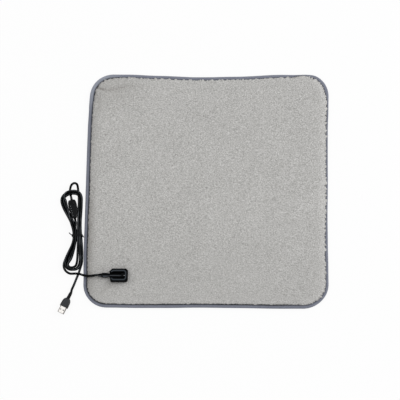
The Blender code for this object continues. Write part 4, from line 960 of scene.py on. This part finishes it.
def make_fringe():
    """Stray tufts along the plush's edge: each is a thin three sided cone whose foot is in
    the pile and whose tip leans out over the binding, longest at the far and right sides."""
    count = 5200
    rng = np.random.default_rng(17)
    dx, dy = around_pad(count)[:2]
    turn = np.arctan2(dy, dx) + rng.normal(0, 0.0012, count)
    dx, dy = np.cos(turn), np.sin(turn)
    x, y = ring_hit(dx, dy, 0.008)
    reach = overhang(x, y)
    length = (0.3 + 1.7 * rng.random(count) ** 3.0) * MM * (0.5 + reach / (6.0 * MM))
    foot_inset = LIP - reach + 1.3 * MM
    foot = np.stack(ring_hit(dx, dy, foot_inset), -1)
    tip = np.stack(ring_hit(dx, dy, foot_inset - 1.0 * MM - length), -1)
    aside = unit(np.stack([-(tip - foot)[:, 1], (tip - foot)[:, 0]], -1))
    tip = tip + aside * rng.normal(0, 0.45, count)[:, None] * length[:, None]
    thick = (0.28 + 0.3 * rng.random(count)) * MM
    rise = (6.9 + 1.1 * rng.random(count)) * MM
    drop = (0.1 + 0.9 * rng.random(count)) * MM
    points = np.stack([np.column_stack(pair) for pair in (
        (foot + aside * thick[:, None], rise), (foot - aside * thick[:, None], rise),
        (foot, rise + 1.5 * thick), (tip, rise - drop),
    )], 1)
    one = np.array([[0, 1, 3], [1, 2, 3], [2, 0, 3], [0, 2, 1]])
    faces = (one + 4 * np.arange(count)[:, None, None]).reshape(-1, 3)
    fringe = new_mesh("plush_fringe", points, faces)
    keep_number(fringe, "painted_shade", np.zeros(4 * count))
    fringe.data.materials.append(plush_pile())
    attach(fringe, "pad")


# The binding and its seam
TAPE_FOLD = np.array([
    # inward from the lip, up from the binding's height
    (0, -1.0), (0.1, -0.6), (-0.2, -0.2), (-0.8, -0.05), (-1.5, -0.35), (-1.9, -0.6),
    (-2.3, -0.35), (-3.2, 0), (-4.5, 0.1), (-5.8, 0.05),
]) * MM


def binding_profile():
    """The tape's section from its upper lip round the edge to its lower lip: the lip's
    inner fold, a dip where the seam draws it down, the flat, and the round back."""
    radius = BINDING_HEIGHT / 2
    turn = np.linspace(0, math.pi, 17)
    back = np.stack([radius - radius * np.sin(turn), radius + radius * np.cos(turn)], -1)
    top = TAPE_FOLD + (LIP, BINDING_HEIGHT)
    low = top[::-1].copy()
    low[:, 1] = np.maximum(BINDING_HEIGHT - low[:, 1], 0.0)
    return np.vstack([top, back[1:-1], low])


def under_pile(x, y, inset, height):
    """How dark the tape is close to the pile's edge and beneath it: 1 under the pile, and
    a bell's flank outside it; fainter at the far and right sides."""
    edge = LIP - overhang(x, y) - 1.2 * MM
    out = np.maximum(edge - inset, 0)
    corner = np.maximum(ramp(x, 0.17, 0.20), ramp(-x, 0.15, 0.18)) * ramp(y, 0.15, 0.18)
    faint = 1 - 0.6 * np.maximum(ramp(x, 0.12, 0.20), ramp(y, 0.12, 0.20)) * (1 - corner)
    faint = faint - 0.25 * outward(-x) * ramp(y, 0.0, 0.04) * (1 - ramp(y, 0.12, 0.15))
    reach = (1.2 + 0.7 * outward(-x) + 0.1 * outward(-y)) * MM
    upper = ramp(height, BINDING_HEIGHT * 0.45, BINDING_HEIGHT * 0.8)
    return upper * faint * bell(out, reach)


def make_binding():
    """The section above carried round the pad, with small gathers where the tape is eased
    round a corner and slow waves along the sides; the inside is closed by a flat wall."""
    outer = binding_profile()
    count = 860
    dx, dy, run, whole = around_pad(count)
    inset, height = (np.repeat(outer[:, k:k + 1], count, 1) for k in (0, 1))
    corner = corner_share(dx, dy)[None]
    gather = np.sin(run / GATHER_PITCH * math.tau)[None] * 0.5 + 0.5
    lap = run / whole * math.tau
    wave = (np.sin(lap * 17) + np.sin(lap * 41 + 1))[None]
    upper = ramp(height, BINDING_HEIGHT * 0.45, BINDING_HEIGHT * 0.9)
    across = bell(inset - LIP + 0.0022, 0.0022)
    height -= upper * across * corner * gather * GATHER_DEPTH
    inset += upper * (1 - ramp(inset, 0.002, 0.008)) * wave * WAVE_BACK
    inset -= ramp(inset, 0.007, 0.0098) * upper * wave * WAVE_LIP
    x, y = ring_hit(dx[None], dy[None], inset)
    crosswise = running_sum(step_lengths(outer))[:, None]
    uv = np.stack(np.broadcast_arrays(run[None], crosswise), -1) / UV_LENGTH
    faces = grid_faces(len(outer), count, True, True)[:, ::-1]
    tape = new_mesh("binding_tape", np.stack([x, y, height], -1), faces, uv=uv)
    keep_number(tape, "shaded", under_pile(x, y, inset, height))
    # Painted light at the far left corner of the tape
    keep_number(tape, "painted_corner_light", 0.34 * ramp(-x, 0.15, 0.20) * ramp(y, 0.14, 0.19))
    tape.data.materials.append(woven_tape())
    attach(tape, "pad")
    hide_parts("edge_binding")


def make_seam():
    """Stitches: each is a short bead whose rings shrink at both ends, laid end to end along
    the dip near the lip, above and below."""
    dx, dy, run, whole = around_pad(3440)
    count = int(whole / SEAM_PITCH)
    starts = np.arange(count) * whole / count
    steps, sides = 5, 6
    share = np.linspace(0, 1, steps)
    size = np.sin(np.pi * (0.12 + 0.76 * share))[None, :, None] * SEAM_RADIUS
    turn = np.linspace(0, math.tau, sides, endpoint=False)
    places = starts[:, None] + share[None] * SEAM_PITCH * STITCH_SHARE
    cos, sin = (np.interp(places, run, way, period=whole) for way in (dx, dy))
    here, there = (np.stack(ring_hit(cos, sin, SEAM_INSET + more), -1) for more in (0, NUDGE))
    out = (there - here)[:, :, None] / NUDGE
    flat = here[:, :, None] + out * (np.cos(turn) * size)[..., None]
    sets = []
    for level, side in ((BINDING_HEIGHT - STITCH_SUNK, 1), (STITCH_SUNK, -1)):
        arch = np.sin(np.pi * share)[None, :, None] * STITCH_ARCH * side
        rise = np.broadcast_to(level + arch + np.sin(turn) * size, flat.shape[:-1])
        sets.append(np.concatenate([flat, rise[..., None]], -1))
    quads = grid_faces(steps, sides, False, True)
    many = (quads + (np.arange(2 * count) * steps * sides)[:, None, None]).reshape(-1, 4)
    seam = new_mesh("seam_stitches", sets, many[:, ::-1])
    seam.data.materials.append(speckled(
        "indigo_thread", rgb(58, 60, 74), rgb(84, 87, 102), 0.7, (2500.0, 200.0), 0.5, 0.00005
    ))
    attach(seam, "pad")


def make_underside():
    """The dark cloth: a square grid carried to the rim as the plush is, flat on the
    surface and rising to the binding, closed above by a second layer."""
    n = 120
    table = np.array([(0, 2.8, 1.15), (7.3, 10.0, 1.15), (10.5, 13.2, 0.0), (20, 22.7, 0.0)]) * MM
    dx, dy, _, inset, low = square_grid(n, table)
    x, y = ring_hit(dx, dy, inset)
    both = [np.stack([x, y, level], -1) for level in (low, low + CLOTH_THICK)]
    under, over = grid_faces(n, n)[:, ::-1], grid_faces(n, n) + n * n
    index = np.arange(n * n).reshape(n, n)
    edge = np.concatenate([index[0, :-1], index[:-1, -1], index[-1, :0:-1], index[:0:-1, 0]])
    after = np.roll(edge, -1)
    wall = np.stack([edge, after, after + n * n, edge + n * n], -1)
    cloth = new_mesh("underside_cloth", both, np.vstack([under, over, wall]))
    cloth.data.materials.append(underside_weave())
    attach(cloth, "pad")
    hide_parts("base_cloth")


def dress_nodes():
    """Gives each CAD node that stays its own finish."""
    for material, names in (
        (moulded("satin_black_plastic", rgb(5, 6, 8), 0.3, shine=0.12),
         ("socket_backplate", "controller_base", "controller_cover", "usb_tongue", "twist_tie")),
        # The ring colour is a painted highlight along the plate's top
        (moulded("socket_black_plastic", rgb(2, 3, 4), 0.28, shine=0.04, ring=rgb(60, 65, 70)),
         ("socket_housing",)),
        (moulded("half_gloss_black_plastic", rgb(2, 3, 4), 0.4, 2200.0, 0.00001, shine=0.06),
         ("jack_collar",)),
        (soft_black(), ("control_button", "relief_pad_side", "relief_plug_side")),
        # The plug's last colour is a painted highlight along its top, towards the near side
        (moulded("black_plug_moulding_painted_highlight", rgb(2, 3, 4), 0.28, 900.0, 0.00004, shine=0.04,
                 painted_highlight=rgb(84, 88, 93)), ("plug_body",)),
        # The grip's outline, seen from above, takes painted shade
        (moulded("fine_textured_black_grip", rgb(24, 27, 30), 0.46, 700.0, 0.00005, lift=0.3,
                 shine=0.35, edge_shade_node="usb_overmold"), ("usb_overmold",)),
        # The last colour is the shell's painted shade on its sides and outline
        (metal("nickel_plated_shell", rgb(236, 233, 229), 0.3, 2600.0, rgb(84, 78, 74)),
         ("usb_shell",)),
        (metal("nickel_plated_contact", rgb(200, 202, 205), 0.22, 1800.0),
         ("plug_barrel", "jack_pin", "thermal_cutout", "backplate_screw_1",
          "backplate_screw_2", "backplate_screw_3", "backplate_screw_4")),
        (speckled("unlit_lens", rgb(96, 100, 104), rgb(132, 136, 140), 0.18, (700.0, 90.0),
                  0.1, 0.00001, coat=0.6), ("light_strip",)),
        (speckled("circuit_board", rgb(18, 70, 38), rgb(40, 104, 62), 0.35, (1200.0, 300.0),
                  0.2, 0.00003), ("control_board",)),
        (moulded("red_wire_jacket", rgb(140, 34, 26), 0.45, 900.0, 0.00002),
         ("heating_wire", "lead_wire_supply", "lead_wire_return", "cutout_wire")),
        (speckled("undyed_felt", rgb(196, 192, 184), rgb(226, 223, 216), 0.95,
                  (700.0, 50.0, 1.8), 0.6, 0.0004),
         ("insulation_felt", "element_carrier", "wadding")),
    ):
        for name in names:
            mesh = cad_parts[name].data
            mesh.materials.clear()
            mesh.materials.append(material)


# Floor and light


def make_floor():
    """A pale floor that the camera and reflections see as near white, with a faint shadow."""
    corners = np.array([(-1, -1), (1, -1), (1, 1), (-1, 1)]) * FLOOR_HALF
    points = np.column_stack([corners, np.full(4, FLOOR_LEVEL)])
    floor = new_mesh("floor", points, [[0, 1, 2, 3]])
    made = bpy.data.materials.new("pale_floor")
    made.use_nodes = True
    tree = Tree(made.node_tree)
    plain = tree.add("BsdfDiffuse", {"Color": (0.8, 0.8, 0.8, 1)})
    faint = tree.add("BsdfDiffuse", {"Color": (0.075, 0.075, 0.075, 1)})
    glow = tree.add("Emission", {"Color": (1, 1, 1, 1), "Strength": 0.915})
    both = tree.add("AddShader", {0: faint.outputs[0], 1: glow.outputs[0]})
    mixed = tree.add("MixShader", {0: tree.seen(), 1: plain.outputs[0], 2: both.outputs[0]})
    tree.add("OutputMaterial", {"Surface": mixed.outputs[0]})
    floor.data.materials.append(made)
    floor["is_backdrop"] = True


def make_light():
    """Soft light from all round, a broad lamp from the right and a little behind, a small one
    from the near side and a broad faint one from the left."""
    world = bpy.data.worlds.new("studio")
    world.use_nodes = True
    bpy.context.scene.world = world
    tree = Tree(world.node_tree)
    light = tree.add("Background", {"Color": (1, 1, 1, 1), "Strength": 0.55})
    white = tree.add("Background", {"Color": (1, 1, 1, 1), "Strength": 1.0})
    mixed = tree.add("MixShader", {0: tree.seen(), 1: light.outputs[0], 2: white.outputs[0]})
    tree.add("OutputWorld", {"Surface": mixed.outputs[0]})
    for name, place, size, power in (
        # places and sizes in metres, power in watts
        ("key_lamp", (3.2, 1.5, 2.4), 2.6, 94.0),
        ("front_lamp", (0.3, -3.2, 2.2), 0.9, 12.0),
        ("fill_lamp", (-2.4, 0.5, 3.0), 2.6, 28.0),
    ):
        lamp = bpy.data.lights.new(name, "AREA")
        lamp.size, lamp.energy = size, power
        thing = new_object(name, lamp)
        thing.location = place
        thing.rotation_euler = (-Vector(place)).to_track_quat("-Z", "Y").to_euler()


place_camera()
make_cords()
outline_shift()
make_plush()
make_fringe()
make_binding()
make_seam()
make_underside()
dress_nodes()
make_floor()
make_light()
bpy.context.scene.view_settings.view_transform = "Standard"
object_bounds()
